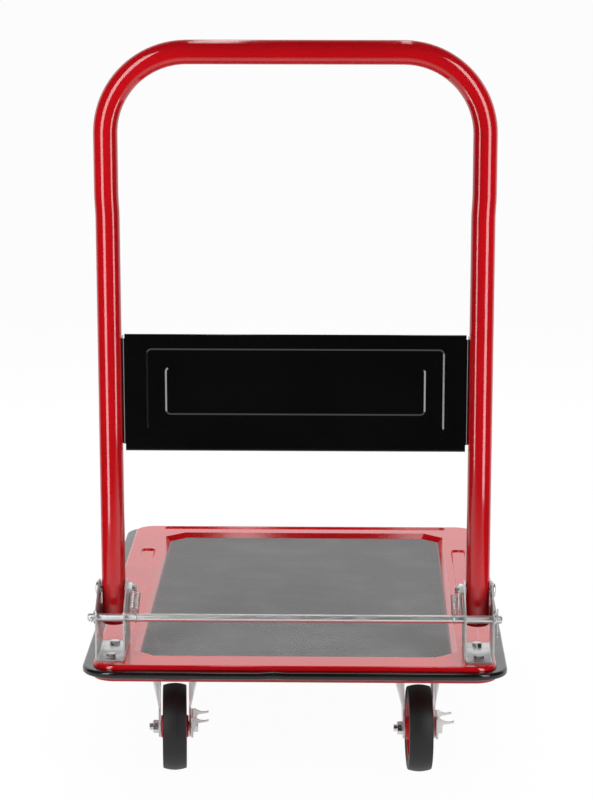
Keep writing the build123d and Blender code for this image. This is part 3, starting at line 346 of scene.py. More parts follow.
# %% [markdown]
# ## Zinc plate
# The brackets, rod, forks and fasteners are bright zinc. Zinc plate has a fine grain, a faint spangle of
# crystals and slow stains from the bath, with a touch of straw colour in places. The hardware is nearly a
# mirror, and the forks have a paler and duller plate.

# %% The zinc finishes
STAINS_PER_METRE = 38.0
STAIN_BAND = (0.36, 0.7)
STAIN_SHARE = 0.6
STAIN_DULLNESS = 0.12
SPANGLE_PER_METRE = 420.0
SPANGLE_DULLNESS = 0.05
SPANGLE_RISE = 0.3
STREAKS_PER_METRE = 700.0
STREAK_SHARE = 0.4
STREAK_DULLNESS = 0.06
STREAK_RISE = 0.7
STRAW_PER_METRE = 17.0
STRAW_TINT = (1.0, 0.99, 0.95)
PLATE_RELIEF = 0.02 * MM
UPRIGHT = (1.0, 1.0, 0.25)
ACROSS = (0.1, 1.0, 1.0)
EVEN = (1.0, 1.0, 1.0)


def zinc(name, bright, dull, roughness, grain):
    """Plated steel: its two tones, its roughness and the direction of its grain."""
    plate = Finish(name, {"Metallic": 1.0})
    stain = plate.band(plate.noise(STAINS_PER_METRE, detail=4.0), *STAIN_BAND)
    spangle = plate.cells(SPANGLE_PER_METRE)
    streak = plate.noise(STREAKS_PER_METRE, detail=3.0, stretch=grain)
    tone = stain * STAIN_SHARE + streak * STREAK_SHARE
    straw = [share * tint for share, tint in zip(bright, STRAW_TINT)]
    tinted = plate.blend(plate.noise(STRAW_PER_METRE, detail=2.0), (*bright, 1), (*straw, 1))
    plate.feed("Base Color", plate.blend(tone, tinted, (*dull, 1)))
    stained = roughness + stain * STAIN_DULLNESS
    plate.feed("Roughness", stained + spangle * SPANGLE_DULLNESS + streak * STREAK_DULLNESS)
    plate.relief(streak * STREAK_RISE + spangle * SPANGLE_RISE, PLATE_RELIEF)
    return plate.material


ZINC_PLATE = zinc("zinc_plate", (0.76, 0.77, 0.77), (0.58, 0.59, 0.60), 0.28, UPRIGHT)
ROD_ZINC = zinc("rod_zinc", (0.86, 0.86, 0.87), (0.70, 0.71, 0.72), 0.3, ACROSS)
FORK_ZINC = zinc("fork_zinc", (0.88, 0.89, 0.89), (0.76, 0.77, 0.78), 0.55, UPRIGHT)
ZINC_HARDWARE = zinc("zinc_hardware", (0.76, 0.77, 0.77), (0.56, 0.58, 0.59), 0.16, ACROSS)
SPRING_WIRE = zinc("spring_wire", (0.76, 0.77, 0.77), (0.50, 0.51, 0.52), 0.14, EVEN)
BALL_STEEL = zinc("ball_steel", (0.74, 0.74, 0.75), (0.60, 0.60, 0.62), 0.08, EVEN)
PLATED = (ZINC_PLATE, ROD_ZINC, FORK_ZINC, ZINC_HARDWARE, SPRING_WIRE, BALL_STEEL)
print("plated finishes:", ", ".join(finish.name for finish in PLATED))

# %% [markdown]
# ## Rubber and plastic
# The mat, the bumper and the tyres are rubbers that differ in tone and sheen: the mat is a dull, dusty
# grey, the bumper is a glossy black extrusion, and the tyres are a dull black with the fine grain of a
# mould. The mat's grey is lighter than its black rubber, in part a painted sheen for its pale look at a
# low angle. The wheel cores are a red moulded plastic. One recipe makes them all, with a slow wear and a
# fine grain.

# %% The rubber and plastic finishes
MOULDED_IOR = 1.5
WORN_PER_METRE = 14.0
WORN_BAND = (0.4, 0.75)
WORN_SHARE = 0.5
WORN_DULLNESS = 0.08
GRAIN_SHARE = 0.3
GRAIN_DULLNESS = 0.1


def moulded(name, colour, dusty, roughness, grain, depth):
    """A moulded skin: its colour, its dusty tone, its roughness, and its grain per metre and depth in mm."""
    skin = Finish(name, {"IOR": MOULDED_IOR})
    worn = skin.band(skin.noise(WORN_PER_METRE, detail=4.0), *WORN_BAND)
    fine = skin.noise(grain, detail=3.0)
    dusting = worn * WORN_SHARE + fine * GRAIN_SHARE
    skin.feed("Base Color", skin.blend(dusting, (*colour, 1), (*dusty, 1)))
    skin.feed("Roughness", roughness + worn * WORN_DULLNESS + fine * GRAIN_DULLNESS)
    skin.relief(fine, depth * MM)
    return skin.material


# The mat's grey is lighter than its black rubber: in part a painted sheen, for its pale look at a low angle.
MAT_RUBBER = moulded("mat_rubber", (0.150, 0.150, 0.151), grey(0.222), 0.5, grain=900.0, depth=0.06)
BUMPER_RUBBER = moulded("bumper_rubber", grey(0.005), grey(0.01), 0.08, grain=1400.0, depth=0.006)
TYRE_RUBBER = moulded("tyre_rubber", grey(0.002), grey(0.004), 0.5, grain=1200.0, depth=0.03)
CORE_PLASTIC = moulded(
    "core_plastic", (0.60, 0.004, 0.009), (0.47, 0.003, 0.007), 0.35, grain=600.0, depth=0.03
)
print("moulded finishes:", MAT_RUBBER.name, BUMPER_RUBBER.name, TYRE_RUBBER.name, CORE_PLASTIC.name)

# %% [markdown]
# ## Every solid gets its finish
# The record says which finish each solid takes, and the rod and the casters' pressings have a plate of
# their own. Assigning them all at once means that a solid which no later step replaces is already dressed.

# %% Dress the solids
FINISH_OF_SLOT = {
    "red_enamel": RED_ENAMEL,
    "black_enamel": BLACK_ENAMEL,
    "channel_steel": CHANNEL_ENAMEL,
    "zinc_plate": ZINC_PLATE,
    "zinc_hardware": ZINC_HARDWARE,
    "spring_wire": SPRING_WIRE,
    "ball_steel": BALL_STEEL,
    "mat_rubber": MAT_RUBBER,
    "bumper_rubber": BUMPER_RUBBER,
    "tyre_rubber": TYRE_RUBBER,
    "core_plastic": CORE_PLASTIC,
}
FINISH_OF_NODE = {"lock_rod": ROD_ZINC}
for pressing in ("swivel_fork", "swivel_brake_rocker", "fixed_caster_bracket"):
    FINISH_OF_NODE.update({f"{side}_{pressing}": FORK_ZINC for side in SIDES})


def finish_of(node):
    """A solid's own finish, or else the finish of its slot."""
    return FINISH_OF_NODE.get(node, FINISH_OF_SLOT[slot_of[node]])


for node, solid in cad_nodes.items():
    for slot in solid.material_slots:
        slot.material = finish_of(node)
finishes = {finish_of(node).name for node in cad_nodes}
print("dressed", len(cad_nodes), "solids with", len(finishes), "finishes")

# %% [markdown]
# ## The camera
# The photograph was taken from the handle end, a little above the handle's middle height and far enough
# away for little perspective. The place, the turn and the lens below were fitted to the deck's corners,
# the handle and the wheels.

# %% Place the camera
CAMERA_PLACE = (0.0645, -3.5653, 1.0246)
CAMERA_DOWN = 10.274
CAMERA_ROLL = -0.045
CAMERA_TURN = 1.119
CAMERA_LENS = 133.0
CAMERA_REACH = 200.0
SENSOR_HEIGHT = 36.0


def linked(name, data):
    """A new object for a mesh, a lamp or a camera, in the scene."""
    piece = bpy.data.objects.new(name, data)
    bpy.context.scene.collection.objects.link(piece)
    return piece


camera_data = bpy.data.cameras.new("camera")
camera_data.sensor_fit = "VERTICAL"
camera_data.sensor_height = SENSOR_HEIGHT
camera_data.lens = CAMERA_LENS
camera_data.clip_end = CAMERA_REACH
camera = linked("camera", camera_data)
camera.location = CAMERA_PLACE
camera.rotation_euler = (radians(90 - CAMERA_DOWN), radians(CAMERA_ROLL), radians(CAMERA_TURN))
bpy.context.scene.camera = camera
print("camera at", [round(v, 3) for v in camera.location], "lens", camera_data.lens, "mm")

# %% [markdown]
# ## The studio
# A white sweep of paper, two tall strip boxes close to the handle, two narrow strips overhead, a large
# soft box high at the back and a weak one in front. The tall strips draw the two pale streaks down each
# leg, and the overhead strips the short ones on the top bar and on the deck's far slope. The box at the
# back lights whatever faces up and leaves the slopes that face the camera deep red. Mirror rays pass by
# the boxes at the back and in front, because on the tube they would draw lines that aren't there. The
# camera sees a white background. Mirror rays see it too where they go to the back, while the side behind
# the photographer is a dark room: that is what keeps the black panel black.

# %% Make the world
bpy.context.scene.view_settings.view_transform = "Standard"
WHITE = (1, 1, 1, 1)
WORLD_LIGHT = 0.12
DARK_ROOM = 0.03
DARK_CEILING = 0.3
BACK_BAND = (0.3, 0.6)
CEILING_BAND = (0.35, 0.8)
RAY_KINDS = ("Camera", "Glossy", "Transmission")
world = bpy.data.worlds.new("studio")
world.use_nodes = True
sky = Graph(world.node_tree)


def ray_kinds(graph):
    """1 for camera rays, and 1 for mirror and glass rays."""
    kinds = [graph.node("ShaderNodeLightPath", output=f"Is {kind} Ray") for kind in RAY_KINDS]
    camera_ray, glossy, through = kinds
    return camera_ray, glossy.math("MAXIMUM", glossy, through)


camera_ray, mirror_ray = ray_kinds(sky)
direction = sky.node("ShaderNodeTexCoord", output="Generated")
overhead = sky.band(sky.part(direction, "Z"), *CEILING_BAND)
backdrop = sky.band(sky.part(direction, "Y"), *BACK_BAND) * (1 - overhead * (1 - DARK_CEILING))
mirrored = DARK_ROOM + backdrop * (1 - DARK_ROOM)
unseen = mirror_ray * mirrored + (1 - mirror_ray) * WORLD_LIGHT
strength = camera_ray + (1 - camera_ray) * unseen
background = sky.tree.nodes["Background"]
background.inputs["Color"].default_value = WHITE
sky.tree.links.new(strength.socket, background.inputs["Strength"])
bpy.context.scene.world = world
print("background white, light from all round", WORLD_LIGHT)

# %% Lay the floor
PAPER_REACH = 30.0
PAPER_HALF_WIDTH = 0.8
PAPER_FRONT = -1.35
PAPER_SPREAD = 0.4
right_edge = [(PAPER_HALF_WIDTH, y, 0) for y in (PAPER_FRONT, PAPER_SPREAD)]
right_edge.append((PAPER_REACH, PAPER_REACH, 0))
left_edge = [(-x, y, z) for x, y, z in reversed(right_edge)]
paper_edge = right_edge + left_edge
floor_mesh = bpy.data.meshes.new("floor")
floor_mesh.from_pydata(paper_edge, [], [tuple(range(len(paper_edge)))])
floor_piece = linked("floor", floor_mesh)
print("paper from", PAPER_FRONT, "to", PAPER_REACH, "m")

# %% Finish the paper
PAPER_ROUGHNESS = 0.9
PAPER_WHITE = 0.9
PAPER_PAINTED_SHADE = 0.05
PAPER_SHADE_FROM = -0.6
PAPER_SHADE_TO = -1.25
PAPER_GLOW = 0.97
paper = Finish("paper", {"Roughness": PAPER_ROUGHNESS})
# Painted shade: the paper's colour darkens towards the front, where no lamp reaches, so it bounces less light there
# and shows dark in mirrors.
reach_of_light = paper.band(paper.part(paper.place, "Y"), PAPER_SHADE_TO, PAPER_SHADE_FROM)
painted_shade, white = (*grey(PAPER_PAINTED_SHADE), 1), (*grey(PAPER_WHITE), 1)
paper.feed("Base Color", paper.blend(reach_of_light, painted_shade, white))
glow = paper.node("ShaderNodeEmission", {}, {"Color": WHITE, "Strength": 1.0})
lit = Wire(paper, paper.shader.outputs[0])
camera_ray, mirror_ray = ray_kinds(paper)
seen = (camera_ray + mirror_ray * reach_of_light) * PAPER_GLOW
surface = paper.node("ShaderNodeMixShader", {}, {0: seen, 1: lit, 2: glow})
paper.tree.links.new(surface.socket, paper.tree.nodes["Material Output"].inputs["Surface"])
floor_mesh.materials.append(paper.material)
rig.stage(floor_piece)
print("paper fades to dark between", PAPER_SHADE_FROM, "and", PAPER_SHADE_TO, "m")

# %% Hang the lamps
STRIP_HEIGHT = 1.2
STRIP_MIDDLE = 0.7
STRIP_RADIANCE = 6.0
OVERHEAD_LENGTH = 1.5
OVERHEAD_HEIGHT = 2.0
OVERHEAD_MIDDLE = 0.45
HANDLE_SIDE = (0.0, 0.0, STRIP_MIDDLE)
DECK_MIDDLE = (0.0, 0.1, 0.14)


def soft_box(name, place, size, radiance, faces=None, in_mirrors=True):
    """A soft box of a width and a length, facing a point, or straight down where no point is given."""
    data = bpy.data.lights.new(name, "AREA")
    data.shape = "RECTANGLE"
    data.size, data.size_y = size
    data.energy = radiance * pi * size[0] * size[1]
    lamp = linked(name, data)
    lamp.location = place
    if faces:
        lamp.rotation_euler = (Vector(faces) - lamp.location).to_track_quat("-Z", "Y").to_euler()
    lamp.visible_glossy = in_mirrors
    print(name, "at", place, round(data.energy), "W")


soft_box("left_strip_box", (-0.46, -0.75, STRIP_MIDDLE), (0.19, STRIP_HEIGHT), STRIP_RADIANCE, HANDLE_SIDE)
soft_box("right_strip_box", (0.60, -0.79, STRIP_MIDDLE), (0.25, STRIP_HEIGHT), STRIP_RADIANCE, HANDLE_SIDE)
soft_box("front_soft_box", (0.0, -2.5, 1.8), (1.0, 0.5), 0.6, HANDLE_SIDE, in_mirrors=False)
soft_box("left_overhead_strip", (-0.15, OVERHEAD_MIDDLE, OVERHEAD_HEIGHT), (0.08, OVERHEAD_LENGTH), 4.4)
soft_box("right_overhead_strip", (0.205, OVERHEAD_MIDDLE, OVERHEAD_HEIGHT), (0.11, OVERHEAD_LENGTH), 3.4)
soft_box("back_top_box", (0.0, 1.5, 1.9), (2.2, 1.2), 7.8, DECK_MIDDLE, in_mirrors=False)

# %% [markdown]
# ## Putting a piece in place of its solid
# A modifier is only a promise until its result is turned into a plain mesh. The finished piece then takes
# its solid's place: it rides on the same body, keeps the solid's slot and hides the solid.


# %% Finish a piece
def plain_mesh(source, name):
    """The evaluated mesh of an object as a new plain object; the source is removed."""
    graph = bpy.context.evaluated_depsgraph_get()
    mesh = bpy.data.meshes.new_from_object(source.evaluated_get(graph))
    mesh.name = name
    bpy.data.objects.remove(source)
    return linked(name, mesh)


def settle(piece, *replaced):
    """Puts a finished piece on its body, in place of its solids."""
    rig.ride(piece, body_of[replaced[0]])
    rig.replaces(piece, *replaced)
    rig.slot(piece, slot_of[replaced[0]])
    return piece


print("pieces can settle on", len(set(body_of.values())), "bodies")

# %% [markdown]
# ## Softening the sheet metal
# A solid has perfectly sharp edges, and real sheet metal never has: each cut edge is a little rounded and
# catches a thin line of light. A copy of the solid is merged, its flat facets are dissolved, and a Bevel
# rounds each sharp edge. Weighted normals keep the large faces flat in the light. The deck's hem ends in a
# ring only a third of a millimetre wide, narrower than the rounding, so that ring is left as it is.

# %% Round the edges of a copy
MERGE_WITHIN = 0.002 * MM
FLAT_WITHIN = radians(0.6)
SHARP_FROM = 28
ROUND_SEGMENTS = 3
BELOW_ALL = -1.0


def merged_copy(node):
    """A copy of a solid to work on, its loose triangles merged."""
    work = bmesh.new()
    work.from_mesh(cad_nodes[node].data)
    bmesh.ops.remove_doubles(work, verts=work.verts, dist=MERGE_WITHIN)
    return work


def reaches(edge, level):
    """Whether an edge has an end above a level."""
    return max(vert.co.z for vert in edge.verts) > level


def eased(node, width, limit=SHARP_FROM, reshape=None, above=BELOW_ALL):
    """A copy of a solid, reshaped if asked, with the sharp edges above a height rounded to a width in mm."""
    work = merged_copy(node)
    free_verts = [vert for vert in work.verts if vert.co.z > above]
    free_edges = [edge for edge in work.edges if reaches(edge, above)]
    bmesh.ops.dissolve_limit(work, angle_limit=FLAT_WITHIN, verts=free_verts, edges=free_edges)
    if reshape:
        reshape(work)
    weight = work.edges.layers.float.new("bevel_weight_edge")
    for edge in work.edges:
        sharp = len(edge.link_faces) == 2 and edge.calc_face_angle() > radians(limit)
        edge[weight] = float(sharp and reaches(edge, above))
    for face in work.faces:
        face.smooth = True
    mesh = bpy.data.meshes.new(node)
    work.to_mesh(mesh)
    work.free()
    mesh.materials.append(finish_of(node))
    source = linked(f"{node}_source", mesh)
    bevel = source.modifiers.new("rounded edges", "BEVEL")
    bevel.width = width * MM
    bevel.segments = ROUND_SEGMENTS
    bevel.limit_method = "WEIGHT"
    bevel.use_clamp_overlap = True
    source.modifiers.new("even shading", "WEIGHTED_NORMAL").keep_sharp = True
    return settle(plain_mesh(source, f"{node}_eased"), node)


print("edges sharper than", SHARP_FROM, "degrees are rounded in", ROUND_SEGMENTS, "segments")

# %% Round the pressings and the turned pieces
PRESSED_EDGE = 0.7
PLATE_EDGE = 0.45
SHEARED_EDGE = 0.8
SMALL_EDGE = 0.25
HEM_LEVEL = 0.05 * MM
EDGE_OF_SIDE_PIECE = {
    "hinge_bracket": SHEARED_EDGE,
    "swivel_top_plate": PLATE_EDGE,
    "swivel_fork": PLATE_EDGE,
    "fixed_caster_bracket": PLATE_EDGE,
    "swivel_brake_rocker": PLATE_EDGE,
    "swivel_wheel_core": PRESSED_EDGE,
    "fixed_wheel_core": PRESSED_EDGE,
    "swivel_axle_sleeve": SMALL_EDGE,
    "fixed_axle_sleeve": SMALL_EDGE,
    "swivel_king_pin": SMALL_EDGE,
}
edge_of = {"lock_rod": PLATE_EDGE}
for node in ("lock_rod_washers", "pivot_washers", "panel_rivets", "pivot_bolts"):
    edge_of[node] = SMALL_EDGE
edge_of.update({f"{end}_end_channel": PLATE_EDGE for end in ENDS})
for side in SIDES:
    edge_of.update({f"{side}_{piece}": edge for piece, edge in EDGE_OF_SIDE_PIECE.items()})
eased("deck_panel", PRESSED_EDGE, above=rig.box("deck_panel")[0].z + HEM_LEVEL)
for node, width in edge_of.items():
    eased(node, width)
print("rounded the edges of the deck and of", len(edge_of), "pieces")

# %% [markdown]
# ## Shapes that follow a rule
# A bent tube, a coil, a strip round the deck and a row of bolts are all rules: sweep this round along
# that path, or put this shape at those points. Geometry Nodes state the rule once. Each tree below has
# named sizes, and its result is turned into a plain mesh, because an export drops live instances.


# %% A geometry tree with named sizes
class Shape(Graph):
    """A Geometry Nodes tree with a Geometry input, named sizes and a Material."""

    def __init__(self, name, sizes):
        super().__init__(bpy.data.node_groups.new(name, "GeometryNodeTree"))
        face = self.tree.interface
        face.new_socket("Geometry", in_out="INPUT", socket_type="NodeSocketGeometry")
        kinds = {**{size: "Float" for size in sizes}, "Material": "Material"}
        self.keys = {
            label: face.new_socket(label, in_out="INPUT", socket_type=f"NodeSocket{kind}").identifier
            for label, kind in kinds.items()
        }
        face.new_socket("Geometry", in_out="OUTPUT", socket_type="NodeSocketGeometry")
        self.start = self.tree.nodes.new("NodeGroupInput")
        self.end = self.tree.nodes.new("NodeGroupOutput")

    def given(self, label):
        """One of the tree's inputs."""
        return Wire(self, self.start.outputs[label])

    def at(self, axis):
        """The X, Y or Z of each point."""
        return self.part(self.node("GeometryNodeInputPosition"), axis)

    def vector(self, x=0.0, y=0.0, z=0.0):
        return self.node("ShaderNodeCombineXYZ", {}, {0: x, 1: y, 2: z})

    def moved(self, geometry, z):
        """The geometry moved up by a distance."""
        sockets = {"Geometry": geometry, "Translation": self.vector(z=z)}
        return self.node("GeometryNodeTransform", {}, sockets)

    def shifted(self, geometry, offset):
        """The geometry with each point shifted by its own offset."""
        return self.node("GeometryNodeSetPosition", {}, {"Geometry": geometry, "Offset": offset})

    def smooth(self, geometry):
        return self.node("GeometryNodeSetShadeSmooth", {}, {"Geometry": geometry, "Shade Smooth": True})

    def close(self, geometry):
        """Ends the tree: instances made real, then the material."""
        real = self.node("GeometryNodeRealizeInstances", {}, {0: geometry})
        finish = self.given("Material")
        dressed = self.node("GeometryNodeSetMaterial", {}, {"Geometry": real, "Material": finish})
        self.tree.links.new(dressed.socket, self.end.inputs[0])
        print("tree", self.tree.name, "with", len(self.tree.nodes), "nodes")

    def grow(self, name, source, node, **sizes):
        """Runs the tree on a source object, and returns the plain mesh in the node's finish."""
        modifier = source.modifiers.new(self.tree.name, "NODES")
        modifier.node_group = self.tree
        for label, value in {**sizes, "Material": finish_of(node)}.items():
            modifier[self.keys[label]] = value
        piece = plain_mesh(source, name)
        print(name, len(piece.data.polygons), "faces")
        return piece


print(Shape.__name__, "turns a rule into a plain mesh")


# %% Paths, sections and sweeps
def path_of(name, points):
    """A line of edges through points, for a tree to follow."""
    mesh = bpy.data.meshes.new(name)
    mesh.from_pydata([tuple(point) for point in points], [(i, i + 1) for i in range(len(points) - 1)], [])
    return linked(name, mesh)


def given_line(shape):
    """The edges that a tree is given, as a curve."""
    return shape.node("GeometryNodeMeshToCurve", {}, {"Mesh": shape.given("Geometry")})


def rounded(shape, curve, radius, steps):
    """A curve with its corners rounded to a radius, each in a number of steps."""
    sockets = {"Curve": curve, "Count": steps, "Radius": radius, "Limit Radius": True}
    return shape.node("GeometryNodeFilletCurve", {"mode": "POLY"}, sockets)


def evened(shape, curve, step):
    """A curve in even steps."""
    return shape.node("GeometryNodeResampleCurve", {"mode": "LENGTH"}, {"Curve": curve, "Length": step})


def circle(shape, radius, sides):
    """A round section."""
    sockets = {"Resolution": sides, "Radius": radius}
    return shape.node("GeometryNodeCurvePrimitiveCircle", {"mode": "RADIUS"}, sockets)


def swept(shape, curve, section, capped):
    """A section swept along a curve, shaded smooth, with its ends closed where that is wanted."""
    sockets = {"Curve": curve, "Profile Curve": section, "Fill Caps": capped}
    return shape.smooth(shape.node("GeometryNodeCurveToMesh", {}, sockets))


print("a path is", rounded.__name__, evened.__name__, "and", swept.__name__)

# %% [markdown]
# ## The handle
# The handle is one steel tube with two bends. It could be extruded and bent with a modifier, but the rule
# is simple enough to state: three straight runs of a line, two corners rounded to the bender's radius, and
# a circle swept along. The die that gripped the tube for each bend left the leg below it very slightly
# splayed, which shows as a soft kink in the highlights. Solidify then gives the tube its wall.

# %% A tree that bends a tube
BEND_STEPS = 32
TUBE_SIDES = 48
swept_tube = Shape("swept_tube", ("Bend", "Radius", "Step", "Grip", "Fade", "Splay"))
bent = rounded(swept_tube, given_line(swept_tube), swept_tube.given("Bend"), BEND_STEPS)
even = evened(swept_tube, bent, swept_tube.given("Step"))
grip, fade = swept_tube.given("Grip"), swept_tube.given("Fade")
past_grip = swept_tube.band(swept_tube.at("Z"), grip - fade, grip + fade)
splay = swept_tube.at("X") * swept_tube.given("Splay") * (past_grip - 0.5)
splayed = swept_tube.shifted(even, swept_tube.vector(x=splay))
section = circle(swept_tube, swept_tube.given("Radius"), TUBE_SIDES)
swept_tube.close(swept(swept_tube, splayed, section, capped=False))

# %% Bend the handle tube
TUBE_RADIUS = 13.5 * MM
TUBE_WALL = 1.5 * MM
HANDLE_LEAN = radians(4.2)
HANDLE_BEND = 90 * MM
DIE_GRIP = 80 * MM
DIE_FADE = 14 * MM
DIE_SPLAY = 0.005
TUBE_STEP = 6 * MM
WALL_INWARDS = -1.0

pivot = Vector(joints["handle_fold"]["pos_m"])
tube_low, tube_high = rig.box("handle_tube")
leg_x = tube_high.x - TUBE_RADIUS
up_leg = Vector((0, -sin(HANDLE_LEAN), cos(HANDLE_LEAN)))
top_reach = (tube_high.z - TUBE_RADIUS - pivot.z) / up_leg.z
tail_reach = (pivot.z - tube_low.z - TUBE_RADIUS * sin(HANDLE_LEAN)) / up_leg.z
grip_height = pivot.z + up_leg.z * (top_reach - HANDLE_BEND - DIE_GRIP)
tail, top = (Vector((leg_x, pivot.y, pivot.z)) + up_leg * along for along in (-tail_reach, top_reach))
mirror_x = Vector((-1, 1, 1))
handle = swept_tube.grow(
    "handle_skin",
    path_of("handle_path", [tail, top, top * mirror_x, tail * mirror_x]),
    "handle_tube",
    Bend=HANDLE_BEND,
    Radius=TUBE_RADIUS,
    Step=TUBE_STEP,
    Grip=grip_height,
    Fade=DIE_FADE,
    Splay=DIE_SPLAY,
)
wall = handle.modifiers.new("wall", "SOLIDIFY")
wall.thickness = TUBE_WALL
wall.offset = WALL_INWARDS
settle(plain_mesh(handle, "handle_tube_bent"), "handle_tube")

# %% [markdown]
# ## The pressed panel
# On the real panel the bead is sunk into the front and the top and bottom edges are turned back a little
# past square, so they show as thin dark rims. The solid carries both more plainly. The copy's points are
# moved in the panel's own directions: those of the bead are mirrored in the sheet's two faces, and those
# of the edges are drawn into a tighter bend and tipped towards the middle. The band is a little less deep
# at its inner wall, which is why that wall catches the lamps at another angle than the outer one.

# %% Press the panel
PANEL_EDGE = 0.4
PANEL_LIMIT = 18
PANEL_MIDDLE = 231 * MM
PANEL_HALF = 67.5 * MM
PANEL_FORWARD = 4.0 * MM
PANEL_SHEET = 1.2 * MM
BEAD_REACH_X = 170 * MM
BEAD_REACH_UP = 56 * MM
BEAD_RISE = 2.5 * MM
BAND_MIDDLE_X = 157 * MM
BAND_MIDDLE_UP = 39 * MM
INNER_DEPTH = 0.74
OUTER_DEPTH = 1.0
RIM_FROM = 62.55 * MM
RIM_TIGHTER = 0.6
RIM_TIP = tan(radians(23))
RIM_LIFT = 1.0 * MM
ON_FACE = 0.02 * MM
forward_way = Vector((0, -cos(HANDLE_LEAN), -sin(HANDLE_LEAN)))


def press(work):
    """Sinks the bead of the panel's copy and tips its top and bottom edges."""
    for vert in work.verts:
        place = vert.co - pivot
        forward = place.dot(forward_way)
        height = place.dot(up_leg) - PANEL_MIDDLE
        if abs(height) > RIM_FROM:
            back = (PANEL_FORWARD - forward) * RIM_TIGHTER
            rim = (PANEL_HALF - abs(height)) * RIM_TIGHTER + back * RIM_TIP - RIM_LIFT
            vert.co += forward_way * (PANEL_FORWARD - back - forward)
            vert.co += up_leg * (copysign(PANEL_HALF - rim, height) - height)
        elif abs(height) < BEAD_REACH_UP and abs(vert.co.x) < BEAD_REACH_X:
            face = PANEL_FORWARD if forward > PANEL_FORWARD - ON_FACE else PANEL_FORWARD - PANEL_SHEET
            if forward > face + ON_FACE:
                inner = abs(vert.co.x) < BAND_MIDDLE_X and abs(height - BEAD_RISE) < BAND_MIDDLE_UP
                depth = INNER_DEPTH if inner else OUTER_DEPTH
                vert.co -= forward_way * ((1 + depth) * (forward - face))


eased("back_panel", PANEL_EDGE, PANEL_LIMIT, reshape=press)
print("panel", round(2 * PANEL_HALF / MM), "mm high,", round(PANEL_MIDDLE / MM), "mm up the legs")

# %% [markdown]
# ## The bumper strip
# The bumper is an extruded rubber strip pushed into a groove round the deck, with its ends butted at the
# handle end. The strip is never quite true: it rides up a little at the butt and waves along its length. A
# rounded section swept along the deck's outline gives the strip, and a slow noise lifts its line.

# %% A tree that wraps a strip
CORNER_STEPS = 24
SECTION_STEPS = 7
STRIP_STEP = 4 * MM
BUTT_REACH = 16 * MM
NEAR_END_BAND = (-0.3, -0.2)
WAVES_PER_METRE = 16.0
strip = Shape("bumper_strip", ("Corner", "Width", "Height", "Round", "Butt", "Lift", "Wave"))
bent = rounded(strip, given_line(strip), strip.given("Corner"), CORNER_STEPS)
even = evened(strip, bent, STRIP_STEP)
from_butt = abs(strip.at("X") - strip.given("Butt"))
at_butt = (1 - strip.band(from_butt, 0.0, BUTT_REACH)) * (1 - strip.band(strip.at("Y"), *NEAR_END_BAND))
place = strip.node("GeometryNodeInputPosition")
waves = strip.node("ShaderNodeTexNoise", {}, {"Vector": place, "Scale": WAVES_PER_METRE, "Detail": 1.0})
lift = at_butt * strip.given("Lift") + (waves - 0.5) * strip.given("Wave")
waved = strip.shifted(even, strip.vector(z=lift))
upright = strip.node("GeometryNodeSetCurveNormal", {"mode": "Z_UP"}, {"Curve": waved})
box = {"Width": strip.given("Width"), "Height": strip.given("Height")}
square = strip.node("GeometryNodeCurvePrimitiveQuadrilateral", {"mode": "RECTANGLE"}, box)
section = rounded(strip, square, strip.given("Round"), SECTION_STEPS)
strip.close(swept(strip, upright, section, capped=True))

# %% Wrap the bumper round the deck
BUMPER_WIDTH = 14.4 * MM
BUMPER_ROUND = 2.6 * MM
BUMPER_CORNER = 38 * MM
BUTT_X = -23 * MM
BUTT_GAP = 0.6 * MM
BUTT_LIFT = 0.7 * MM
STRIP_WAVE = 0.8 * MM
bumper_low, bumper_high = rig.box("edge_bumper")
bumper_x = bumper_high.x - BUMPER_WIDTH / 2
bumper_y = bumper_high.y - BUMPER_WIDTH / 2
bumper_z = (bumper_low.z + bumper_high.z) / 2
round_deck = [(BUTT_X + BUTT_GAP / 2, -bumper_y), (bumper_x, -bumper_y), (bumper_x, bumper_y)]
round_deck += [(-bumper_x, bumper_y), (-bumper_x, -bumper_y), (BUTT_X - BUTT_GAP / 2, -bumper_y)]
bumper = strip.grow(
    "edge_bumper_strip",
    path_of("bumper_path", [(x, y, bumper_z) for x, y in round_deck]),
    "edge_bumper",
    Corner=BUMPER_CORNER - BUMPER_WIDTH / 2,
    Width=BUMPER_WIDTH,
    Height=bumper_high.z - bumper_low.z,
    Round=BUMPER_ROUND,
    Butt=BUTT_X,
    Lift=BUTT_LIFT,
    Wave=STRIP_WAVE,
)
settle(bumper, "edge_bumper")
strip_size, solid_size = bumper.dimensions, bumper_high - bumper_low
print("bumper", [round(v / MM, 1) for v in strip_size], "solid", [round(v / MM, 1) for v in solid_size])

# %% [markdown]
# ## The pebbled mat
# The mat is a rubber sheet with small studs in staggered rows. Thousands of studs are one stud at
# thousands of points. A grid gives the points, every second row moves by half a pitch, those outside the
# cut-corner outline are deleted, and each stud is a frustum of only eight faces.

# %% A tree that studs a sheet
STUD_SIDES = 6
STUD_TAPER = 0.7
CUT_MARGIN = 1.4
MAT_SIZES = ("Width", "Length", "Cut", "Pitch", "Radius", "Height", "Root", "Top", "Margin")
studded = Shape("studded_mat", MAT_SIZES)


def cone(shape, top, bottom, depth, sides):
    """A closed cone or frustum that stands on the floor."""
    sockets = {"Vertices": sides, "Radius Top": top, "Radius Bottom": bottom, "Depth": depth}
    return shape.node("GeometryNodeMeshCone", {"fill_type": "NGON"}, sockets)


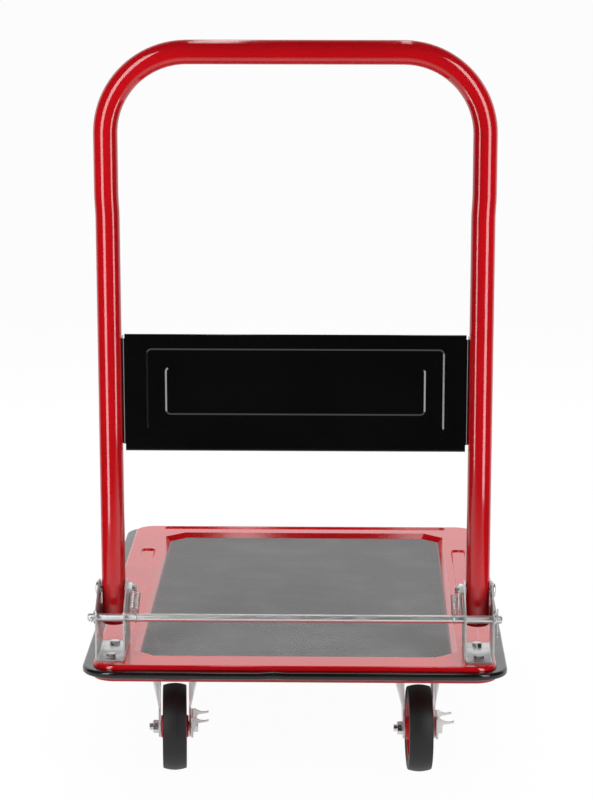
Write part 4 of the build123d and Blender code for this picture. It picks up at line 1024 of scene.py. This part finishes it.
width, length, cut, pitch, radius, height, root, top_z, margin = (studded.given(size) for size in MAT_SIZES)
half_width = width / 2
half_length = length / 2
row_pitch = pitch * sqrt(3) / 2
columns = round(width / pitch)
rows = round(length / row_pitch)
grid_size = {"Size X": columns * pitch, "Size Y": rows * row_pitch}
grid_count = {"Vertices X": columns + 1, "Vertices Y": rows + 1}
grid = studded.node("GeometryNodeMeshGrid", {}, {**grid_size, **grid_count})
row = studded.node("GeometryNodeInputIndex") % (rows + 1)
stagger = (row % 2 - 0.5) * pitch / 2
places = studded.shifted(grid, studded.vector(x=stagger, z=top_z - height - root))
from_middle_x = abs(studded.at("X"))
from_middle_y = abs(studded.at("Y"))
past_side = from_middle_x > half_width - margin
past_end = from_middle_y > half_length - margin
past_cut = from_middle_x + from_middle_y > half_width + half_length - cut - margin * CUT_MARGIN
outside = {"Geometry": places, "Selection": past_side + past_end + past_cut}
inside = studded.node("GeometryNodeDeleteGeometry", {"domain": "POINT"}, outside)
stud = studded.smooth(cone(studded, radius * STUD_TAPER, radius, height + root, STUD_SIDES))
studs = studded.node("GeometryNodeInstanceOnPoints", {}, {"Points": inside, "Instance": stud})
studded.close(studded.node("GeometryNodeJoinGeometry", {}, {0: [studded.given("Geometry"), studs]}))

# %% Cut and stud the mat
MAT_CUT = 20 * MM
MAT_RIM = 2 * MM
STUD_PITCH = 5.2 * MM
STUD_RADIUS = 2.2 * MM
STUD_HEIGHT = 0.45 * MM
STUD_ROOT = 0.3 * MM
STUD_MARGIN = 0.3 * MM
mat_low, mat_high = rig.box("anti_slip_mat")
mat_x, mat_y = mat_high.x, mat_high.y


def cut_corners(rim, z):
    """The mat's outline at a height, with its corners cut, grown by a rim."""
    x, y, corner = mat_x + rim, mat_y + rim, MAT_CUT + rim * (2 - sqrt(2))
    half = [(x, y - corner), (x - corner, y), (corner - x, y), (-x, y - corner)]
    return [(x, y, z) for x, y in half] + [(-x, -y, z) for x, y in half]


lower_edge = cut_corners(0.0, mat_low.z)
upper_edge = cut_corners(MAT_RIM, mat_high.z - STUD_HEIGHT)
count = len(lower_edge)
sheet_faces = [tuple(reversed(range(count))), tuple(range(count, 2 * count))]
sheet_faces += [(i, (i + 1) % count, (i + 1) % count + count, i + count) for i in range(count)]
sheet_mesh = bpy.data.meshes.new("mat_sheet")
sheet_mesh.from_pydata(lower_edge + upper_edge, [], sheet_faces)
mat = studded.grow(
    "anti_slip_mat_studded",
    linked("mat_sheet", sheet_mesh),
    "anti_slip_mat",
    Width=2 * mat_x,
    Length=2 * mat_y,
    Cut=MAT_CUT,
    Pitch=STUD_PITCH,
    Radius=STUD_RADIUS,
    Height=STUD_HEIGHT,
    Root=STUD_ROOT,
    Top=mat_high.z,
    Margin=STUD_MARGIN,
)
settle(mat, "anti_slip_mat")

# %% [markdown]
# ## Bolts and nuts
# Every bolt head and nut on the trolley is a hexagon with its corners turned off at 30 degrees. In nodes
# that is a six-sided cylinder cut by a cone. One tree serves the bolts and another the nuts, and both
# stand their shape on each point and turn it along the fastener's axis.

# %% A turned hexagon
HEX_SIDES = 6
TURNED_ANGLE = radians(30)
TURNED_TOP = 0.475
CONE_BELOW = 1.0
CONE_ABOVE = 0.1
CONE_SIDES = 40


def cylinder(shape, radius, depth, sides):
    """A closed cylinder about the floor."""
    sockets = {"Vertices": sides, "Radius": radius, "Depth": depth}
    return shape.node("GeometryNodeMeshCylinder", {"fill_type": "NGON"}, sockets)


def chamfered_hexagon(shape, flats, height):
    """A hexagonal prism from the floor up, with its upper corners turned off by a cone."""
    prism = shape.moved(cylinder(shape, flats / sqrt(3), height, HEX_SIDES), height / 2)
    slope = 1 / tan(TURNED_ANGLE)
    lower = flats * TURNED_TOP + height * (1 + CONE_BELOW) * slope
    upper = flats * TURNED_TOP - height * CONE_ABOVE * slope
    turning = cone(shape, upper, lower, height * (1 + CONE_BELOW + CONE_ABOVE), CONE_SIDES)
    parts = {"Mesh 2": [prism, shape.moved(turning, height * -CONE_BELOW)]}
    return shape.node("GeometryNodeMeshBoolean", {"operation": "INTERSECT"}, parts)


print("hexagons are turned off to", TURNED_TOP, "of their flats")

# %% Trees for bolts and nuts
AXIS = ("AxisX", "AxisY", "AxisZ")
TWIST_FIRST = radians(20)
TWIST_STEP = radians(47)
SHANK_SIDES = 32
SHANK_ROOT = 0.2 * MM
BORE_THROUGH = 4


def stand_on_points(shape, body):
    """Puts a body on each point, turned to the tree's axis and twisted, and closes the tree."""
    axis = shape.vector(*(shape.given(label) for label in AXIS))
    turn = shape.node("FunctionNodeAlignRotationToVector", {"axis": "Z"}, {"Vector": axis})
    places = {"Points": shape.given("Geometry"), "Instance": body, "Rotation": turn}
    standing = shape.node("GeometryNodeInstanceOnPoints", {}, places)
    twist = shape.vector(z=TWIST_FIRST + shape.node("GeometryNodeInputIndex") * TWIST_STEP)
    twisted = {"Instances": standing, "Rotation": twist, "Local Space": True}
    shape.close(shape.node("GeometryNodeRotateInstances", {}, twisted))


hex_bolt = Shape("hex_bolt", ("Flats", "Head", "Shank", "Length") + AXIS)
head = chamfered_hexagon(hex_bolt, hex_bolt.given("Flats"), hex_bolt.given("Head"))
shank_depth = hex_bolt.given("Length") + SHANK_ROOT
shank = cylinder(hex_bolt, hex_bolt.given("Shank"), shank_depth, SHANK_SIDES)
shank = hex_bolt.moved(shank, SHANK_ROOT - shank_depth / 2)
stand_on_points(hex_bolt, hex_bolt.node("GeometryNodeJoinGeometry", {}, {0: [head, shank]}))

hex_nut = Shape("hex_nut", ("Flats", "Head", "Bore") + AXIS)
solid_nut = chamfered_hexagon(hex_nut, hex_nut.given("Flats"), hex_nut.given("Head"))
bore = cylinder(hex_nut, hex_nut.given("Bore"), hex_nut.given("Head") * BORE_THROUGH, SHANK_SIDES)
bored = {"Mesh 1": solid_nut, "Mesh 2": [bore]}
stand_on_points(hex_nut, hex_nut.node("GeometryNodeMeshBoolean", {"operation": "DIFFERENCE"}, bored))


# %% Read where the fasteners are
def solids_of(node):
    """The lowest and highest corner of each separate solid in a node."""
    work = merged_copy(node)
    left = set(work.verts)
    boxes = []
    while left:
        front = [left.pop()]
        places = []
        while front:
            vert = front.pop()
            places.append(vert.co.copy())
            near = [link.other_vert(vert) for link in vert.link_edges]
            front += [other for other in near if other in left]
            left.difference_update(near)
        low = Vector(min(place[i] for place in places) for i in range(3))
        high = Vector(max(place[i] for place in places) for i in range(3))
        boxes.append((low, high))
    work.free()
    return sorted(boxes, key=lambda corners: tuple(corners[0]))


def reach(node, origin, axis):
    """How far a node reaches along an axis from an origin, at both ends."""
    along = [(vert.co - origin).dot(axis) for vert in cad_nodes[node].data.vertices]
    return min(along), max(along)


def seats_of(boxes, upper, inset=0.0):
    """The middle of each box's upper or lower end, moved into the box by an inset."""
    seats = []
    for low, high in boxes:
        seat_z = high.z - inset if upper else low.z + inset
        seats.append(((low.x + high.x) / 2, (low.y + high.y) / 2, seat_z))
    return seats


for group in ("bracket", "caster"):
    print("found", len(solids_of(f"{group}_bolts")), group, "bolts")

# %% Bolt the brackets and the casters
SMALL_FLATS = 10 * MM
SMALL_HEAD = 4 * MM
SMALL_NUT = 5 * MM
SMALL_SHANK = 3 * MM
UP = Vector((0, 0, 1))


def fasten(shape, node, places, axis, **sizes):
    """Grows the fasteners of a node at places, pointing along an axis."""
    mesh = bpy.data.meshes.new(f"{node}_places")
    mesh.from_pydata([tuple(place) for place in places], [], [])
    ways = dict(zip(AXIS, axis))
    piece = shape.grow(f"{node}_hex", linked(mesh.name, mesh), node, **ways, **sizes)
    return settle(piece, node)


for group, heads_up in (("bracket", True), ("caster", False)):
    axis = UP if heads_up else -UP
    bolts = solids_of(f"{group}_bolts")
    low, high = bolts[0]
    sizes = {"Flats": SMALL_FLATS, "Head": SMALL_HEAD, "Shank": SMALL_SHANK}
    sizes["Length"] = high.z - low.z - SMALL_HEAD
    fasten(hex_bolt, f"{group}_bolts", seats_of(bolts, heads_up, SMALL_HEAD), axis, **sizes)
    nuts = solids_of(f"{group}_nuts")
    sizes = {"Flats": SMALL_FLATS, "Head": SMALL_NUT, "Bore": SMALL_SHANK}
    fasten(hex_nut, f"{group}_nuts", seats_of(nuts, heads_up), -axis, **sizes)

# %% Bolt the axles
AXLE_FLATS = 13 * MM
AXLE_HEAD = 5.3 * MM
AXLE_SHANK = 4 * MM


def axle_of(caster):
    """The middle of a caster's wheel and the direction of its axle."""
    spin = joints[f"{caster}_wheel_spin"]
    return Vector(spin["pos_m"]), Vector(spin["axis"]).normalized()


for caster in CASTERS:
    hub, axle = axle_of(caster)
    axle = axle if axle.x > 0 else -axle
    low, high = reach(f"{caster}_axle_bolt", hub, axle)
    seat = high - AXLE_HEAD
    sizes = {"Flats": AXLE_FLATS, "Head": AXLE_HEAD, "Shank": AXLE_SHANK, "Length": seat - low}
    fasten(hex_bolt, f"{caster}_axle_bolt", [hub + axle * seat], axle, **sizes)
    low, high = reach(f"{caster}_axle_nut", hub, axle)
    sizes = {"Flats": AXLE_FLATS, "Head": high - low, "Bore": AXLE_SHANK}
    fasten(hex_nut, f"{caster}_axle_nut", [hub + axle * high], -axle, **sizes)

# %% Put the nuts on the pivot bolts
PIVOT_FLATS = 12 * MM
PIVOT_SHANK = 4 * MM


def joined(name, pieces):
    """One mesh from several plain pieces of the same finish."""
    whole = bmesh.new()
    for piece in pieces:
        whole.from_mesh(piece.data)
    mesh = bpy.data.meshes.new(name)
    whole.to_mesh(mesh)
    whole.free()
    mesh.materials.append(pieces[0].data.materials[0])
    for piece in pieces:
        bpy.data.objects.remove(piece)
    return linked(name, mesh)


nut_low, nut_high = solids_of("pivot_nuts")[0]
pivot_nuts = []
for way in (-1, 1):
    place = path_of("pivot_nut_place", [(way * -nut_low.x, pivot.y, pivot.z)])
    sizes = {"Flats": PIVOT_FLATS, "Head": nut_high.x - nut_low.x, "Bore": PIVOT_SHANK}
    axis = {"AxisX": -way, "AxisY": 0.0, "AxisZ": 0.0}
    pivot_nuts.append(hex_nut.grow(f"pivot_nut_{way}", place, "pivot_nuts", **sizes, **axis))
settle(joined("pivot_nuts_hex", pivot_nuts), "pivot_nuts")

# %% [markdown]
# ## Springs and split pins
# Both are bent wire, so both are a round swept along a path of points. The spring's path is a rule: a hook
# over the pivot bolt, a coil, and a hook under the rod. The spring is fixed to the bracket's bolt at one
# end and to the sliding rod at the other, so its mesh is blended between the two bodies and stretches.

# %% A tree and path rules for wire
WIRE_SIDES = 12
TURN_STEPS = 28
wire_sweep = Shape("wire_sweep", ("Radius",))
section = circle(wire_sweep, wire_sweep.given("Radius"), WIRE_SIDES)
wire_sweep.close(swept(wire_sweep, given_line(wire_sweep), section, capped=True))


def smooth_run(start, start_way, end, end_way, steps):
    """Points of a smooth run that leaves one point and meets another in given directions."""
    span = (end - start).length
    points = []
    for k in range(1, steps):
        t = k / steps
        points.append(
            start * (2 * t**3 - 3 * t**2 + 1)
            + start_way * (span * (t**3 - 2 * t**2 + t))
            + end * (3 * t**2 - 2 * t**3)
            + end_way * (span * (t**3 - t**2))
        )
    return points


def hook_points(centre, radius, first, second, turn_from, turn_to):
    """Points of a hook: an arc about a centre, its angle measured from the first direction to the second."""
    turns = [turn_from + (turn_to - turn_from) * k / TURN_STEPS for k in range(TURN_STEPS + 1)]
    angles = [radians(turn) for turn in turns]
    return [centre + first * (radius * cos(a)) + second * (radius * sin(a)) for a in angles]


# %% Wind the springs
SPRING_WIRE_RADIUS = 0.65 * MM
COIL_RADIUS = 5.9 * MM
COIL_PITCH = 2.6 * MM
COIL_LEAD = 9 * MM
COIL_START = 1 / 6
LEAD_STEPS = 12
HOOK_GAP = 0.3 * MM
HOOK_ASIDE = 3.5 * MM
UPPER_HOOK = (-110, 90)
LOWER_HOOK = (0, 200)
rod_low, rod_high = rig.box("lock_rod")
rod = Vector((0, (rod_low.y + rod_high.y) / 2, (rod_low.z + rod_high.z) / 2))
ROD_RADIUS = (rod_high.z - rod_low.z) / 2


def spring_points(top, bottom, aside):
    """The wire's path from the hook on the bolt, down the coil, to the hook on the rod, a little aside."""
    length = (bottom - top).length
    along = (bottom - top) / length
    across = Vector((1, 0, 0))
    outward = along.cross(across)
    turns = floor((length - 2 * COIL_LEAD) / COIL_PITCH)
    coil_top = top + along * ((length - turns * COIL_PITCH) / 2)
    upper_radius = PIVOT_SHANK + SPRING_WIRE_RADIUS + HOOK_GAP
    lower_radius = ROD_RADIUS + SPRING_WIRE_RADIUS + HOOK_GAP
    upper = hook_points(top, upper_radius, -along, outward, *UPPER_HOOK)
    lower = hook_points(bottom + across * aside, lower_radius, outward, along, *LOWER_HOOK)
    coil = []
    for k in range(turns * TURN_STEPS - TURN_STEPS // 3):
        angle = 2 * pi * (k / TURN_STEPS + COIL_START)
        spot = coil_top + along * (COIL_PITCH * angle / (2 * pi))
        coil.append(spot + (outward * cos(angle) + across * sin(angle)) * COIL_RADIUS)
    first_way = (coil[1] - coil[0]).normalized()
    last_way = (coil[-1] - coil[-2]).normalized()
    lead_in = smooth_run(upper[-1], along, coil[0], first_way, LEAD_STEPS)
    lead_out = smooth_run(coil[-1], last_way, lower[0], along, LEAD_STEPS)
    return upper + lead_in + coil + lead_out + lower


for side in SIDES:
    node = f"{side}_lock_spring"
    spring_low, spring_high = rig.box(node)
    spring_x = (spring_low.x + spring_high.x) / 2
    top = Vector((spring_x, pivot.y, pivot.z))
    bottom = Vector((spring_x, rod.y, rod.z))
    inward = -HOOK_ASIDE if spring_x > 0 else HOOK_ASIDE
    spring_path = path_of(f"{node}_path", spring_points(top, bottom, inward))
    spring = wire_sweep.grow(f"{node}_coil", spring_path, node, Radius=SPRING_WIRE_RADIUS)
    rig.blend(spring, "chassis", "foot_lock", start=tuple(top), end=tuple(bottom))
    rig.replaces(spring, node)
    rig.slot(spring, slot_of[node])

# %% Bend the split pins
PIN_WIRE_RADIUS = 0.6 * MM
PIN_EYE = 3 * MM
PIN_EYE_BACK = 1.5
PIN_EYE_GAP = 25
PIN_TAIL = 22 * MM
PIN_SPLAY = 1.6 * MM
PIN_LEG = 0.62 * MM
PIN_STRAIGHT = 2 * MM
SECOND_TAIL = 0.9
SECOND_SPLAY = 0.6
ALONG_DECK = Vector((0, 1, 0))


def pin_points(centre, way, side_way):
    """A split pin through the rod: a leg, the eye, and a second leg that is shorter and less splayed."""
    eye = centre - way * (ROD_RADIUS + PIN_EYE_BACK * PIN_EYE)
    neck = centre - way * ROD_RADIUS
    bend = centre + way * (ROD_RADIUS + PIN_STRAIGHT)
    tip = centre + way * PIN_TAIL
    second_tip = centre + way * (PIN_TAIL * SECOND_TAIL)
    leg = side_way * PIN_LEG
    first = [tip + side_way * (PIN_LEG + PIN_SPLAY), bend + leg, neck + leg]
    loop = hook_points(eye, PIN_EYE, way, side_way, PIN_EYE_GAP, 360 - PIN_EYE_GAP)
    second = [neck - leg, bend - leg, second_tip - side_way * (PIN_LEG + PIN_SPLAY * SECOND_SPLAY)]
    return first + loop + second


pins = []
for (low, high), way in zip(solids_of("lock_rod_split_pins"), (ALONG_DECK, -UP)):
    pin_x = (low.x + high.x) / 2
    side_way = UP if way.y else ALONG_DECK
    pin_path = path_of("pin_path", pin_points(Vector((pin_x, rod.y, rod.z)), way, side_way))
    pin = wire_sweep.grow(f"pin_{way.y:.0f}", pin_path, "lock_rod_split_pins", Radius=PIN_WIRE_RADIUS)
    pins.append(pin)
settle(joined("split_pins_bent", pins), "lock_rod_split_pins")

# %% [markdown]
# ## The tyres
# A tyre is a solid rubber band moulded round its core, with a crowned tread, rounded shoulders, a shallow
# ring in each side and a fine line where the halves of the mould met. It could be a torus, but a section
# turned about the axle shows the crown, the rings and the line. The section's points are worked out, and
# each ring of the mesh is the section at one angle.

# %% The tyre's section
TREAD_HALF = 13.5
TREAD_CROWN = 2.4
TREAD_ROUND = 1.3
TYRE_DEPTH = 13.0
TYRE_SEAT = 0.05
RIM_HALF = 12.0
RIM_SLOPE = 2.0
RING_FROM = 4.2
RING_TO = 5.8
RING_DEPTH = 0.4
SHOULDER_STEPS = 6
SHOULDER_STRETCH = 1.12
CROWN_STEPS = 9
MOULD_LINE = 0.28
LINE_FOOT = 0.5
LINE_HALF = 0.3
LINE_ROUND = 0.05


def tyre_section(radius):
    """The tyre's section, as distances along the axle and from it in mm."""
    crown_radius = (TREAD_HALF**2 + TREAD_CROWN**2) / (2 * TREAD_CROWN)
    inner = radius - TYRE_DEPTH + TYRE_SEAT
    ring_x = RING_DEPTH - TREAD_HALF
    section = [(-RIM_HALF, inner), (-TREAD_HALF, inner + RIM_SLOPE), (-TREAD_HALF, inner + RING_FROM)]
    section += [(ring_x, inner + RING_FROM + RING_DEPTH), (ring_x, inner + RING_TO - RING_DEPTH)]
    section.append((-TREAD_HALF, inner + RING_TO))
    shoulder = radius - TREAD_CROWN - TREAD_ROUND
    for k in range(SHOULDER_STEPS + 1):
        angle = radians(90 * k / SHOULDER_STEPS)
        x = -TREAD_HALF + TREAD_ROUND * (1 - cos(angle))
        section.append((x, shoulder + TREAD_ROUND * sin(angle) * SHOULDER_STRETCH))
    for k in range(1, CROWN_STEPS + 1):
        x = -TREAD_HALF + TREAD_ROUND + (TREAD_HALF - TREAD_ROUND - LINE_FOOT) * k / CROWN_STEPS
        section.append((x, radius - crown_radius + sqrt(crown_radius**2 - x**2) - MOULD_LINE))
    section += [(-LINE_HALF, radius - LINE_ROUND), (0.0, radius)]
    return section + [(-x, r) for x, r in reversed(section[:-1])]


print("tread", 2 * TREAD_HALF, "mm wide with a crown of", TREAD_CROWN, "mm")

# %% Turn the tyres
TYRE_STEPS = 112
TYRE_SHARP = 40


def turned(name, section, centre, axle, finish):
    """A ring: a closed section turned about an axle through a centre."""
    side = axle.orthogonal().normalized()
    up = axle.cross(side)
    work = bmesh.new()
    rings = []
    for step in range(TYRE_STEPS):
        angle = 2 * pi * step / TYRE_STEPS
        out = side * cos(angle) + up * sin(angle)
        rings.append([work.verts.new(centre + axle * (x * MM) + out * (r * MM)) for x, r in section])
    for step, ring in enumerate(rings):
        after = rings[(step + 1) % TYRE_STEPS]
        for k in range(len(section)):
            work.faces.new((ring[k], ring[k - 1], after[k - 1], after[k])).smooth = True
    bmesh.ops.recalc_face_normals(work, faces=work.faces)
    mesh = bpy.data.meshes.new(name)
    work.to_mesh(mesh)
    work.free()
    mesh.set_sharp_from_angle(angle=radians(TYRE_SHARP))
    mesh.materials.append(finish)
    return linked(name, mesh)


for caster in CASTERS:
    hub, axle = axle_of(caster)
    node = f"{caster}_wheel_tyre"
    section = tyre_section(hub.z / MM)
    settle(turned(f"{node}_moulded", section, hub, axle, TYRE_RUBBER), node)
print("tyres turned from", len(section), "points")

# %% [markdown]
# ## Keeping the sizes
# The dressed trolley has to stay as large as its solids, so both boxes are written down.

# %% Write the sizes and finish
visual_low, visual_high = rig.bounds()
sizes = {
    "cad": [list(cad_low), list(cad_high)],
    "visual": [list(visual_low), list(visual_high)],
}
with open("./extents.json", "w") as size_file:
    json.dump(sizes, size_file)
print("visual box", [round(v, 4) for v in visual_high - visual_low])
